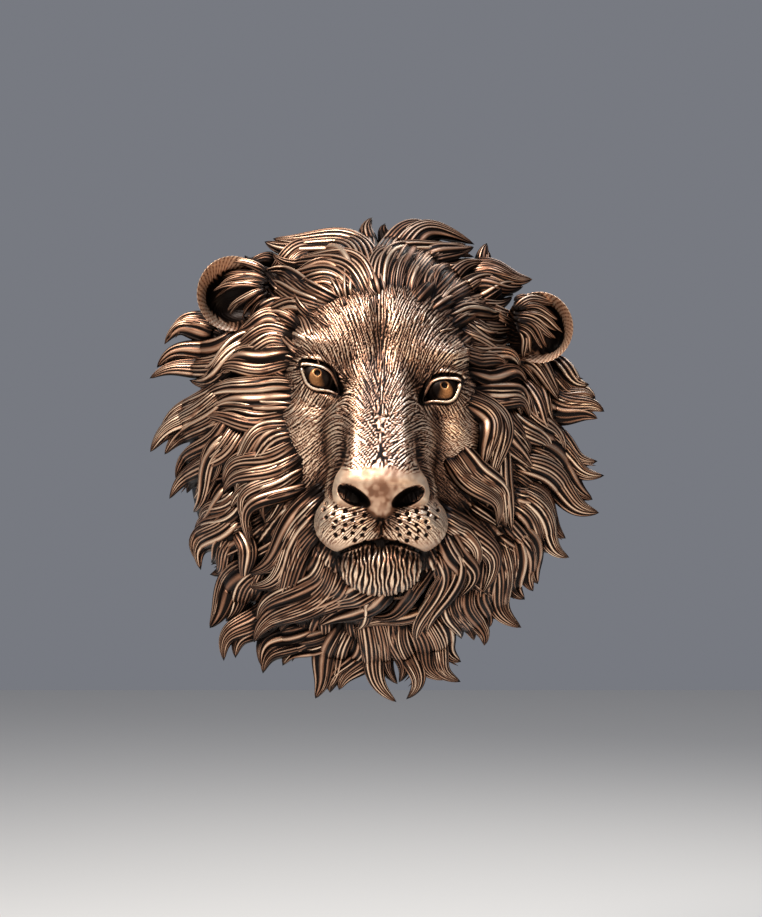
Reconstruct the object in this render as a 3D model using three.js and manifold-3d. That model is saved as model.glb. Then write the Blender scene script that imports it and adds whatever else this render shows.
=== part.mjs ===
// A lion head for a wall, cast in one piece with a flat back: face, ears and a mane of curling locks.
// Millimetres. x runs to the right as seen from the front, z runs up, and -y points at the viewer.
// The wall is the plane y = 0, and depth means the distance from it towards the viewer.
import * as THREE from "three";
import { mergeVertices } from "three/addons/utils/BufferGeometryUtils.js";
import Module from "manifold-3d";

const wasm = await Module();
wasm.setup();

// Driving sizes
const HEAD_HEIGHT = 455; // top curl to the lowest lock
const CAST_DEPTH = 206; // wall to nose

// The carving is laid out in parts, as shares of the head's own height and depth.
const PARTS_HIGH = 455;
const PARTS_DEEP = 206;
const PART = HEAD_HEIGHT / PARTS_HIGH;
const PART_DEEP = CAST_DEPTH / PARTS_DEEP;

const BRONZE = new THREE.MeshStandardMaterial({ color: 0x6b4a2c, roughness: 0.42, metalness: 0.85 });

// Small maths
const clamp = (v, low, high) => Math.min(high, Math.max(low, v));
const mix = (a, b, t) => a + (b - a) * t;
const smoothstep = (low, high, v) => {
  const t = clamp((v - low) / (high - low), 0, 1);
  return t * t * (3 - 2 * t);
};

// Joins two signed distances with a fillet of about the given radius.
function blend(a, b, radius) {
  const h = clamp(0.5 + (0.5 * (b - a)) / radius, 0, 1);
  return mix(b, a, h) - radius * h * (1 - h);
}

// Signed distance to an ellipsoid; a point is [x, depth, z]. turn, in degrees, lowers its end nearer the middle.
function ellipsoid(p, centre, radii, turn = 0) {
  const a = (turn * Math.PI) / 180;
  const [x, y, z] = p.map((v, i) => v - centre[i]);
  const q = [x * Math.cos(a) + z * Math.sin(a), y, z * Math.cos(a) - x * Math.sin(a)];
  const scaled = Math.hypot(...q.map((v, i) => v / radii[i]));
  const slope = Math.hypot(...q.map((v, i) => v / radii[i] ** 2));
  return slope < 1e-9 ? -Math.min(...radii) : (scaled * (scaled - 1)) / slope;
}

// Signed distance to a bar with rounded edges that runs in the middle plane from top to bottom.
function bridgeBar(p, bar) {
  const run = [bar.bottom[0] - bar.top[0], bar.bottom[1] - bar.top[1]];
  const length = Math.hypot(...run);
  const along = ((p[1] - bar.top[0]) * run[0] + (p[2] - bar.top[1]) * run[1]) / length;
  const across = (-(p[1] - bar.top[0]) * run[1] + (p[2] - bar.top[1]) * run[0]) / length;
  const share = clamp(along / length, 0, 1);
  const halfWidth = mix(bar.halfWidth[0], bar.halfWidth[1], share);
  const out = [
    Math.max(Math.abs(p[0]) - halfWidth + bar.edge, 0),
    Math.max(Math.abs(across) - bar.halfThick + bar.edge, 0),
    Math.max(Math.abs(along - length / 2) - length / 2, 0),
  ];
  return Math.hypot(...out) - bar.edge;
}

// Head: forms of the face. A centre is [x, depth, z], the fillet joins it to the rest, and one off centre is paired.
const MANE_DOME = { centre: [-8, -12, 2], radii: [180, 122, 192] };
const FACE_FORMS = [
  { name: "skull", centre: [0, 38, 92], radii: [98, 98, 102], fillet: 24 },
  { name: "face", centre: [0, 62, 22], radii: [97, 70, 112], fillet: 20 },
  { name: "forehead", centre: [0, 96, 112], radii: [64, 42, 48], fillet: 26 },
  { name: "cheekbone", centre: [58, 98, 30], radii: [33, 33, 32], fillet: 20 },
  { name: "orbit", centre: [56, 106, 68], radii: [28, 30, 24], fillet: 16 },
  { name: "jaw", centre: [0, 96, -82], radii: [62, 54, 42], fillet: 18 },
  { name: "muzzle", centre: [0, 136, -30], radii: [50, 42, 36], fillet: 14 },
  { name: "bridge flank", centre: [22, 134, 22], radii: [27, 30, 48], fillet: 14 },
  { name: "whisker pad", centre: [27, 150, -60], radii: [33, 38, 30], fillet: 6 },
  { name: "chin", centre: [0, 140, -97], radii: [36, 30, 26], fillet: 5 },
  { name: "brow ridge", centre: [50, 128, 93], radii: [32, 20, 11], turn: 14, fillet: 12 },
];
const BRIDGE = {
  top: [112, 92], // [depth, z]
  bottom: [170, -12],
  halfWidth: [24, 31],
  halfThick: 26,
  edge: 15,
  fillet: 12,
};
const NOSE_FORMS = [
  { name: "nose leather", centre: [0, 182, -24], radii: [39, 22, 17], fillet: 4 },
  { name: "nose wing", centre: [28, 176, -30], radii: [14, 20, 14], fillet: 5 },
  { name: "nose column", centre: [0, 186, -40], radii: [13, 14, 13], fillet: 5 },
];
const EYE = {
  centre: [55, 123, 67],
  radius: 14.5,
  socket: [18, 12, 11],
  socketDepth: 146,
  turn: 20,
  fillet: 12,
};
const LID = { radius: 15, thick: 3.2, squash: 0.68, depth: 133 };
const NOSTRIL = { centre: [23, 194, -31], radii: [12, 16, 6.5], turn: 32 };
const HEAD_LEAN = Math.tan((5.6 * Math.PI) / 180); // the brow and ears lean to the right over a level mouth
const LEAN_FROM = -60;
const LEAN_TO = 60;

// Signed distance to the whole head and the dome under its mane.
function headDistance(p) {
  const q = [Math.abs(p[0]), p[1], p[2]];
  const pull = (distance, form) =>
    blend(distance, ellipsoid(q, form.centre, form.radii, form.turn), form.fillet);
  let distance = FACE_FORMS.reduce(pull, ellipsoid(p, MANE_DOME.centre, MANE_DOME.radii));
  distance = blend(distance, bridgeBar(p, BRIDGE), BRIDGE.fillet);
  const socket = ellipsoid(q, [EYE.centre[0], EYE.socketDepth, EYE.centre[2]], EYE.socket, EYE.turn);
  distance = -blend(-distance, socket, EYE.fillet);
  return NOSE_FORMS.reduce(pull, distance);
}

// Where the leaning head carries a point laid out square.
const lean = ([x, depth, z]) => [x, depth, z - x * HEAD_LEAN * smoothstep(LEAN_FROM, LEAN_TO, z)];

// A carved point as a vector in the part's own frame.
function inFrame([x, depth, z]) {
  return new THREE.Vector3(x * PART, -depth * PART_DEEP, z * PART);
}

// Moves every vertex of a geometry, in the carving's x, depth and z, to where the given function says.
function carve(geometry, where) {
  const position = geometry.getAttribute("position");
  for (let i = 0; i < position.count; i++) {
    const v = inFrame(where(position.getX(i), position.getY(i), position.getZ(i)));
    position.setXYZ(i, v.x, v.y, v.z);
  }
  return geometry;
}

// A closed geometry as a solid for joining and cutting. Flips it if it was carved inside out.
function solid(geometry) {
  const bare = geometry.clone();
  bare.deleteAttribute("normal");
  bare.deleteAttribute("uv");
  const merged = mergeVertices(bare, 1e-3);
  const faces = [];
  for (let i = 0; i < merged.index.count; i += 3) {
    const [a, b, c] = [0, 1, 2].map((k) => merged.index.getX(i + k));
    if (a !== b && b !== c && c !== a) faces.push([a, b, c]);
  }
  const make = (turn) =>
    new wasm.Manifold(
      new wasm.Mesh({
        numProp: 3,
        vertProperties: merged.attributes.position.array,
        triVerts: new Uint32Array(faces.flatMap(([a, b, c]) => (turn ? [a, c, b] : [a, b, c]))),
      }),
    );
  const made = make(false);
  return made.volume() < 0 ? make(true) : made;
}

// The head over its dome: rays from the middle of the head out to the carved surface.
const RAY_START = [0, 78, 4];
const RAY_REACH = 270;
const RAY_STEPS = 90;
const RAY_HALVINGS = 12;
const HEAD_SIDES = 44;
const HEAD_RINGS = 28;

function rayLength(direction) {
  const at = (r) => headDistance(RAY_START.map((v, i) => v + direction[i] * r));
  let outer = RAY_REACH;
  while (outer > 0 && at(outer) > 0) outer -= RAY_REACH / RAY_STEPS;
  let inner = outer;
  outer += RAY_REACH / RAY_STEPS;
  for (let i = 0; i < RAY_HALVINGS; i++) {
    const middle = (inner + outer) / 2;
    if (at(middle) > 0) outer = middle;
    else inner = middle;
  }
  return inner;
}

function headSolid() {
  const ball = new THREE.SphereGeometry(1, HEAD_SIDES, HEAD_RINGS);
  ball.rotateY(Math.PI / HEAD_SIDES);
  return solid(
    carve(ball, (...direction) => {
      const length = rayLength(direction);
      return lean(RAY_START.map((v, i) => v + direction[i] * length));
    }),
  );
}

// A small ball, stretched and turned about the depth axis, on both sides of the face.
function pairOfBalls({ centre, radii, turn }, sides) {
  return [-1, 1].map((side) => {
    const ball = new THREE.SphereGeometry(1, sides, Math.round(sides * 0.6));
    ball.rotateX(Math.PI / 2);
    ball.scale(...radii);
    ball.rotateY(-side * THREE.MathUtils.degToRad(turn));
    ball.translate(side * centre[0], centre[1], centre[2]);
    return solid(carve(ball, (...p) => lean(p)));
  });
}

// The rim of both lids round each eye, slanting down to the nose.
function lids() {
  return [-1, 1].map((side) => {
    const rim = new THREE.TorusGeometry(LID.radius, LID.thick, 5, 12);
    rim.rotateX(Math.PI / 2);
    rim.scale(1, 1, LID.squash);
    rim.rotateY(-side * THREE.MathUtils.degToRad(EYE.turn));
    rim.rotateZ(-side * THREE.MathUtils.degToRad(EYE.turn));
    rim.translate(side * EYE.centre[0], LID.depth, EYE.centre[2]);
    return solid(carve(rim, (...p) => lean(p)));
  });
}

// Ears: each a ball hollowed from the side it looks to, on a root that joins it to the skull.
const EARS = [
  { centre: [-137, 64, 152], radii: [33, 26, 35], looks: [0.2, 1, -0.2], root: [-112, 42, 138] },
  { centre: [146, 60, 121], radii: [32, 26, 33], looks: [-0.3, 1, -0.1], root: [118, 40, 110] },
];
const EAR_WALL = 6;
const EAR_SET = 12; // how far the hollow's middle lies before the ear's own
const EAR_ROOT = 38;
const EAR_SIDES = 12;

function earSolid(ear) {
  const ball = (centre, radii) =>
    solid(
      carve(new THREE.SphereGeometry(1, EAR_SIDES, EAR_SIDES / 2), (x, y, z) => [
        centre[0] + x * radii[0],
        centre[1] + z * radii[1],
        centre[2] + y * radii[2],
      ]),
    );
  const looks = new THREE.Vector3(...ear.looks).setLength(EAR_SET).toArray();
  const hollow = ball(
    ear.centre.map((v, i) => v + looks[i]),
    ear.radii.map((r) => r - EAR_WALL),
  );
  const root = ball(ear.root, [EAR_ROOT, EAR_ROOT, EAR_ROOT]);
  return root.add(ball(ear.centre, ear.radii)).subtract(hollow);
}

// Mane: how deep the head or its dome stands at a place seen from the front, for the locks to lie on.
const SIGHT_STEPS = 40;

function surfaceDepth(x, z) {
  let depth = 1.1 * PARTS_DEEP;
  for (let i = 0; i < SIGHT_STEPS && depth > 0; i++) depth -= headDistance([x, depth, z]);
  return Math.max(depth, 0);
}

// Rows of locks, from the wall to the face. lift is how far root, middle and tip stand over what they lie on, and floor
// is its least depth. Roots under the jaw or the brow start no further forward than LOCKS_FOREMOST. A lock is
// [root x, root z, tip x, tip z, bend at its root, bend at its tip, width]: the bends are shares of its length, and
// bow it to its left as it runs to the tip.
const LOCKS_FOREMOST = 110;
const ROWS = [
  {
    name: "rim",
    lift: [-12, 1, 5],
    floor: 16,
    locks: [
      [-17, 157, -110, 206, -0.42, -0.3, 30],
      [-98, 183, -128, 191, -0.2, 0.1, 16],
      [-148, 118, -205, 108, -0.35, -0.35, 22],
      [-126, 115, -218, 77, 0, 0.1, 26],
      [-135, 65, -217, 6, -0.22, 0.1, 38],
      [-131, 34, -199, -38, -0.1, 0.15, 34],
      [-132, 17, -155, -52, -0.25, -0.1, 20],
      [-129, -32, -162, -68, 0, 0.1, 18],
      [-134, -53, -171, -105, -0.1, -0.25, 24],
      [-136, -72, -162, -108, 0.1, 0.1, 22],
      [-109, -104, -159, -160, -0.15, -0.2, 30],
      [-98, -137, -146, -191, -0.15, -0.15, 26],
      [-64, -159, -113, -202, -0.1, -0.3, 28],
      [-47, -163, -94, -194, -0.1, -0.15, 24],
      [-33, -157, -60, -226, 0.05, -0.1, 26],
      [-14, -157, -47, -222, 0.15, 0.2, 28],
      [-11, -145, 16, -228, -0.15, -0.1, 24],
      [17, -145, 22, -226, -0.2, 0.15, 24],
      [36, -148, 75, -210, -0.25, -0.05, 40],
      [63, -124, 77, -169, -0.1, -0.1, 22],
      [83, -115, 97, -176, -0.25, -0.15, 34],
      [105, -77, 132, -159, -0.2, -0.15, 48],
      [124, -68, 145, -125, 0.1, 0.15, 26],
      [127, -35, 177, -93, 0.15, 0.05, 36],
      [127, -2, 207, -50, -0.05, 0.2, 32],
      [146, 24, 210, -16, -0.2, -0.15, 34],
      [151, 66, 210, 44, -0.1, -0.15, 34],
      [158, 87, 196, 68, -0.1, -0.2, 24],
      [-13, 183, -8, 227, 0.2, 0.1, 18],
      [5, 192, 4, 221, 0, 0, 14],
      [14, 156, 88, 201, 0.67, 0.52, 44],
      [81, 159, 101, 203, -0.25, -0.25, 20],
      [101, 160, 115, 181, 0, 0, 16],
    ],
  },
  {
    name: "middle",
    lift: [-12, 8, 8],
    floor: 24,
    locks: [
      [-36, 157, -89, 163, -0.2, -0.2, 22],
      [-55, 185, -108, 170, -0.25, -0.2, 24],
      [-110, 106, -180, 75, -0.1, 0.05, 24],
      [-87, 92, -158, 75, -0.15, -0.1, 22],
      [-88, 110, -142, 104, -0.15, -0.05, 20],
      [-84, 60, -170, 50, -0.12, -0.05, 24],
      [-87, 44, -170, 39, -0.1, 0.05, 20],
      [-85, 26, -142, -12, -0.17, -0.14, 24],
      [-81, 10, -147, -31, -0.1, -0.08, 26],
      [-76, -5, -139, -45, -0.12, -0.05, 24],
      [-133, -67, -127, -115, 0.25, 0.3, 18],
      [41, 155, 87, 196, 0.3, 0.3, 26],
      [72, 160, 141, 166, -0.12, 0.25, 26],
      [69, 144, 131, 159, -0.2, 0.05, 24],
      [111, 95, 168, 54, 0.22, 0.35, 20],
      [92, 58, 139, 34, 0.25, 0.35, 20],
      [132, 72, 170, 20, -0.1, -0.1, 24],
      [120, 46, 169, 1, -0.1, 0.1, 28],
      [103, 52, 141, -8, 0.05, -0.2, 24],
    ],
  },
  {
    name: "front",
    lift: [-12, 10, 12],
    floor: 34,
    locks: [
      [-88, 122, -132, 118, -0.25, -0.25, 18],
      [-86, 134, -121, 138, -0.15, -0.15, 16],
      [-73, -22, -120, -81, -0.13, -0.6, 22],
      [-57, -41, -126, -117, 0, 0.15, 28],
      [-55, -59, -113, -142, -0.08, 0.1, 28],
      [-38, -86, -118, -171, 0.3, 0.05, 42],
      [66, 129, 117, 139, -0.1, 0.1, 20],
      [75, 125, 121, 115, -0.3, -0.3, 20],
      [75, 113, 124, 103, -0.25, -0.3, 18],
      [78, 99, 129, 82, -0.1, 0.1, 20],
      [83, 79, 136, 69, 0, 0.1, 18],
      [82, 49, 98, -20, 0.25, 0.45, 24],
      [108, 17, 119, -68, 0.3, -0.2, 22],
      [68, 3, 107, -63, 0.1, 0.15, 26],
      [55, -54, 91, -126, 0.25, 0.4, 26],
      [55, -68, 69, -128, 0.2, 0.25, 22],
      [46, -79, 36, -174, 0.35, 0.15, 26],
      [44, -95, -20, -142, 0.25, 0.3, 18],
      [56, -121, -26, -157, 0.05, 0.1, 18],
    ],
  },
];

const LOCK_SIDES = 6;
const LOCK_STEP = 20; // about how long one facet of a lock is
const LOCK_STEPS = [3, 6]; // fewest and most
const LEAF_START = 0.2; // a lock's outline is a leaf: the share of a half wave that its root starts at
const LEAF_SPEED = 0.85; // under 1, the lock is widest nearer its root
const LEAF_POWER = 0.75;
const LOCK_PLUMP = 0.42; // half thickness to width
const LOCK_MOST_PLUMP = 13;
const LOCK_FULL = 1.15; // widths are read between the grooves, and a lock runs on under its neighbours
const OUTWARD_TILT = 0.35; // how far a lock's face turns from the viewer towards the rim

// A lock's width as a share of its widest, at a share of its length.
const leaf = (t) => Math.sin(Math.PI * (LEAF_START + (1 - LEAF_START) * t ** LEAF_SPEED)) ** LEAF_POWER;

// The line that a lock follows, as seen from the front.
function lockSpine([rootX, rootZ, tipX, tipZ, rootBend, tipBend]) {
  const root = new THREE.Vector2(rootX, rootZ);
  const tip = new THREE.Vector2(tipX, tipZ);
  const run = tip.clone().sub(root);
  const left = new THREE.Vector2(-run.y, run.x);
  const bowed = (share, bend) => root.clone().addScaledVector(run, share).addScaledVector(left, bend);
  return new THREE.CubicBezierCurve(root, bowed(1 / 3, rootBend), bowed(2 / 3, tipBend), tip);
}

function lockSolid(lock, row) {
  const spine = lockSpine(lock);
  const width = lock[6] * LOCK_FULL;
  const plump = Math.min(width * LOCK_PLUMP, LOCK_MOST_PLUMP);
  const place = (t) => {
    const p = spine.getPoint(t);
    const lift = t < 0.5 ? mix(row.lift[0], row.lift[1], t * 2) : mix(row.lift[1], row.lift[2], t * 2 - 1);
    return new THREE.Vector3(p.x, clamp(surfaceDepth(p.x, p.y), row.floor, LOCKS_FOREMOST) + lift, p.y);
  };
  const steps = clamp(Math.round(spine.getLength() / LOCK_STEP), ...LOCK_STEPS);
  const cone = new THREE.ConeGeometry(1, 1, LOCK_SIDES, steps);
  return solid(
    carve(cone, (cx, cy, cz) => {
      const t = cy + 0.5;
      const round = t < 0.999 ? 1 / (1 - t) : 0;
      const centre = place(t);
      const ahead = place(Math.min(1, t + 0.02)).sub(place(Math.max(0, t - 0.02))).normalize();
      const out = new THREE.Vector3(centre.x, 0, centre.z).normalize().multiplyScalar(OUTWARD_TILT);
      const face = out.add(new THREE.Vector3(0, 1, 0)).normalize();
      const across = new THREE.Vector3().crossVectors(ahead, face).normalize();
      centre.addScaledVector(across, (cx * round * leaf(t) * width) / 2);
      centre.addScaledVector(face, cz * round * leaf(t) * plump);
      return [centre.x, centre.y, centre.z];
    }),
  );
}

// Everything is joined, what lies behind the wall plane is sawn off, and pockets closed in by locks are filled.
function maskSolid() {
  const nostrils = pairOfBalls(NOSTRIL, 8);
  const eyes = pairOfBalls({ centre: EYE.centre, radii: [EYE.radius, EYE.radius, EYE.radius], turn: 0 }, 12);
  const locks = ROWS.flatMap((row) => row.locks.map((lock) => lockSolid(lock, row)));
  const head = nostrils.reduce((made, nostril) => made.subtract(nostril), headSolid());
  const joined = wasm.Manifold.union([head, ...eyes, ...lids(), ...EARS.map(earSolid), ...locks]);
  const saw = new THREE.BoxGeometry(4 * HEAD_HEIGHT, 4 * HEAD_HEIGHT, 4 * HEAD_HEIGHT);
  saw.translate(0, 2 * HEAD_HEIGHT, 0);
  const shells = joined.subtract(solid(saw)).decompose();
  return shells.reduce((best, shell) => (shell.volume() > best.volume() ? shell : best));
}

function geometryOf(made) {
  const mesh = made.getMesh();
  const positions = new Float32Array(mesh.numVert * 3);
  for (let i = 0; i < mesh.numVert; i++) {
    positions.set(mesh.vertProperties.subarray(i * mesh.numProp, i * mesh.numProp + 3), i * 3);
  }
  return new THREE.BufferGeometry()
    .setAttribute("position", new THREE.BufferAttribute(positions, 3))
    .setIndex(new THREE.BufferAttribute(mesh.triVerts, 1));
}

const lionHead = new THREE.Group();
const mask = new THREE.Mesh(geometryOf(maskSolid()), BRONZE);
mask.name = "lion_mask";
lionHead.add(mask);

export default lionHead;
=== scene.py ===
"""A lion head wall mask in patinated bronze: the finished surface of the casting, round the fixed frame.

The carving is laid out in parts, shares of the casting's own height and depth. A place in it is
[x, depth, z]: x runs to the viewer's right, depth is the distance in front of the wall, and z runs up.
"""

from __future__ import annotations

import logging
import math
from dataclasses import dataclass, field
from enum import Enum

import bmesh
import bpy
import numpy as np
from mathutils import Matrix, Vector

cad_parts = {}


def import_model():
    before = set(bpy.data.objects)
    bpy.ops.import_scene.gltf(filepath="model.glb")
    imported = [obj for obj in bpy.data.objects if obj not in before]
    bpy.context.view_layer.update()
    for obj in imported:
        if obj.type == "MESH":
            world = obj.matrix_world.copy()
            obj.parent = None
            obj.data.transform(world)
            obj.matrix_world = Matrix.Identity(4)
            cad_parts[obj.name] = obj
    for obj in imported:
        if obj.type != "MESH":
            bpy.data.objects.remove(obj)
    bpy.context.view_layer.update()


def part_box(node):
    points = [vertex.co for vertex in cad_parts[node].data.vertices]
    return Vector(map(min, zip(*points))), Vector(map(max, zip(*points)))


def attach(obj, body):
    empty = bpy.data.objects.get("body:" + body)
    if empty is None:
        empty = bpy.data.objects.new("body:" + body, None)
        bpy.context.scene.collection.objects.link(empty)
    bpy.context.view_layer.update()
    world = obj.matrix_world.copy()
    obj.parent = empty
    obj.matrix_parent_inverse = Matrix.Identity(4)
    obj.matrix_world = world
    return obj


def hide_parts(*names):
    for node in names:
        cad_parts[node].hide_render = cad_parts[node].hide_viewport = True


LOG = logging.getLogger("lion_mask")

Array = np.ndarray
Triple = tuple[float, float, float]
Colour = tuple[float, float, float, float]

CASTING = "lion_mask"
BODY = "root"
WHISKER_PAD = "whisker pad"
PARTS_HIGH = 459.5
PARTS_DEEP = 203.95
SEED = 7


# Small maths


def smoothstep(low: float, high: float, value: Array) -> Array:
    """Rises smoothly from 0 at low to 1 at high."""
    t = np.clip((value - low) / (high - low), 0.0, 1.0)
    return t * t * (3.0 - 2.0 * t)


def part_way(pair: tuple[float | Array, float | Array], share: Array) -> Array:
    """The value at a share of the way from the first of a pair to the second."""
    return pair[0] + (pair[1] - pair[0]) * share


def bell(value: Array, width: float | Array) -> Array:
    """1 at 0, falling off on both sides over a width."""
    return np.exp(-((value / width) ** 2))


def blend(a: Array, b: Array, radius: float) -> Array:
    """Joins two signed distances with a fillet.

    Args:
        a: The first distance.
        b: The second distance.
        radius: About the fillet's radius, in parts.

    Returns:
        The distance to both together.
    """
    h = np.clip(0.5 + 0.5 * (b - a) / radius, 0.0, 1.0)
    return b + (a - b) * h - radius * h * (1.0 - h)


def unit(vectors: Array) -> Array:
    """The vectors at length 1."""
    return vectors / np.maximum(np.linalg.norm(vectors, axis=-1, keepdims=True), 1e-9)


def soften(raster: Array, sigma: float) -> Array:
    """Blurs a raster with a bell curve.

    Args:
        raster: Rows of values.
        sigma: The bell's spread, in cells.

    Returns:
        The blurred raster.
    """
    reach = max(1, int(math.ceil(2.5 * sigma)))
    offsets = np.arange(-reach, reach + 1)
    weights = np.exp(-0.5 * (offsets / sigma) ** 2)
    weights /= weights.sum()
    for axis in (0, 1):
        padding = [(reach, reach) if a == axis else (0, 0) for a in (0, 1)]
        wide = np.pad(raster, padding, mode="edge")
        size = raster.shape[axis]
        raster = sum(w * np.take(wide, range(k, k + size), axis=axis) for k, w in enumerate(weights))
    return raster


def taut(heights: Array) -> Array:
    """Draws a string tight over evenly spaced heights.

    Args:
        heights: The heights.

    Returns:
        The string's height at each of them.
    """
    drawn = heights.copy()
    count = len(heights)
    for a in range(count - 2):
        for b in range(a + 2, count):
            straight = np.linspace(heights[a], heights[b], b - a + 1)
            drawn[a : b + 1] = np.maximum(drawn[a : b + 1], straight)
    return drawn


@dataclass
class Raster:
    """Values over a rectangle seen from the front, read between its cells."""

    left: float
    bottom: float
    cell: float
    values: Array

    @classmethod
    def blank(cls, left: float, bottom: float, right: float, top: float, cell: float) -> Raster:
        """An empty raster over the given rectangle.

        Args:
            left: Its lowest x.
            bottom: Its lowest z.
            right: Its highest x.
            top: Its highest z.
            cell: The side of a cell.

        Returns:
            The raster, all 0.
        """
        columns = int(math.ceil((right - left) / cell)) + 1
        rows = int(math.ceil((top - bottom) / cell)) + 1
        return cls(left, bottom, cell, np.zeros((rows, columns)))

    def places(self) -> tuple[Array, Array]:
        """The x and z of every cell.

        Returns:
            Both, with the raster's rows and columns.
        """
        rows, columns = self.values.shape[:2]
        x = self.left + self.cell * np.arange(columns)
        z = self.bottom + self.cell * np.arange(rows)
        return np.meshgrid(x, z)

    def read(self, x: Array, z: Array) -> Array:
        """The values at places between the cells.

        Args:
            x: Across.
            z: Up.

        Returns:
            One value for each place.
        """
        rows, columns = self.values.shape[:2]
        across = np.clip((x - self.left) / self.cell, 0.0, columns - 1.001)
        up = np.clip((z - self.bottom) / self.cell, 0.0, rows - 1.001)
        i, j = across.astype(int), up.astype(int)
        fx, fz = across - i, up - j
        v = self.values
        low = v[j, i] * (1 - fx) + v[j, i + 1] * fx
        high = v[j + 1, i] * (1 - fx) + v[j + 1, i + 1] * fx
        return low * (1 - fz) + high * fz


# The head's forms


@dataclass(frozen=True)
class Form:
    """A rounded form of the head. One that stands off the middle is paired on both sides."""

    name: str
    centre: Triple
    radii: Triple
    fillet: float
    turn: float = 0.0

    def distance(self, p: Array) -> Array:
        """Signed distance of places to the form, in parts.

        Args:
            p: The places.

        Returns:
            Below 0 inside it.
        """
        q = p - np.array(self.centre)
        a = math.radians(self.turn)
        q = np.stack(
            [
                q[:, 0] * math.cos(a) + q[:, 2] * math.sin(a),
                q[:, 1],
                q[:, 2] * math.cos(a) - q[:, 0] * math.sin(a),
            ],
            axis=1,
        )
        radii = np.array(self.radii)
        scaled = np.linalg.norm(q / radii, axis=1)
        slope = np.maximum(np.linalg.norm(q / radii**2, axis=1), 1e-9)
        return scaled * (scaled - 1.0) / slope


@dataclass(frozen=True)
class Bridge:
    """The bar of the nose bridge, from the brow down to the nose."""

    top: tuple[float, float] = (112.0, 92.0)
    bottom: tuple[float, float] = (170.0, -12.0)
    half_width: tuple[float, float] = (24.0, 31.0)
    half_thick: float = 26.0
    edge: float = 13.0
    fillet: float = 11.0

    def distance(self, p: Array) -> Array:
        """Signed distance of places to the bar, in parts.

        Args:
            p: The places.

        Returns:
            Below 0 inside it.
        """
        run = np.subtract(self.bottom, self.top)
        length = float(np.hypot(*run))
        depth, z = p[:, 1] - self.top[0], p[:, 2] - self.top[1]
        along = (depth * run[0] + z * run[1]) / length
        over = (z * run[0] - depth * run[1]) / length
        share = np.clip(along / length, 0.0, 1.0)
        half = part_way(self.half_width, share)
        out = np.stack(
            [
                np.maximum(np.abs(p[:, 0]) - half + self.edge, 0.0),
                np.maximum(np.abs(over) - self.half_thick + self.edge, 0.0),
                np.maximum(np.abs(along - length / 2) - length / 2, 0.0),
            ],
            axis=1,
        )
        return np.linalg.norm(out, axis=1) - self.edge


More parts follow.
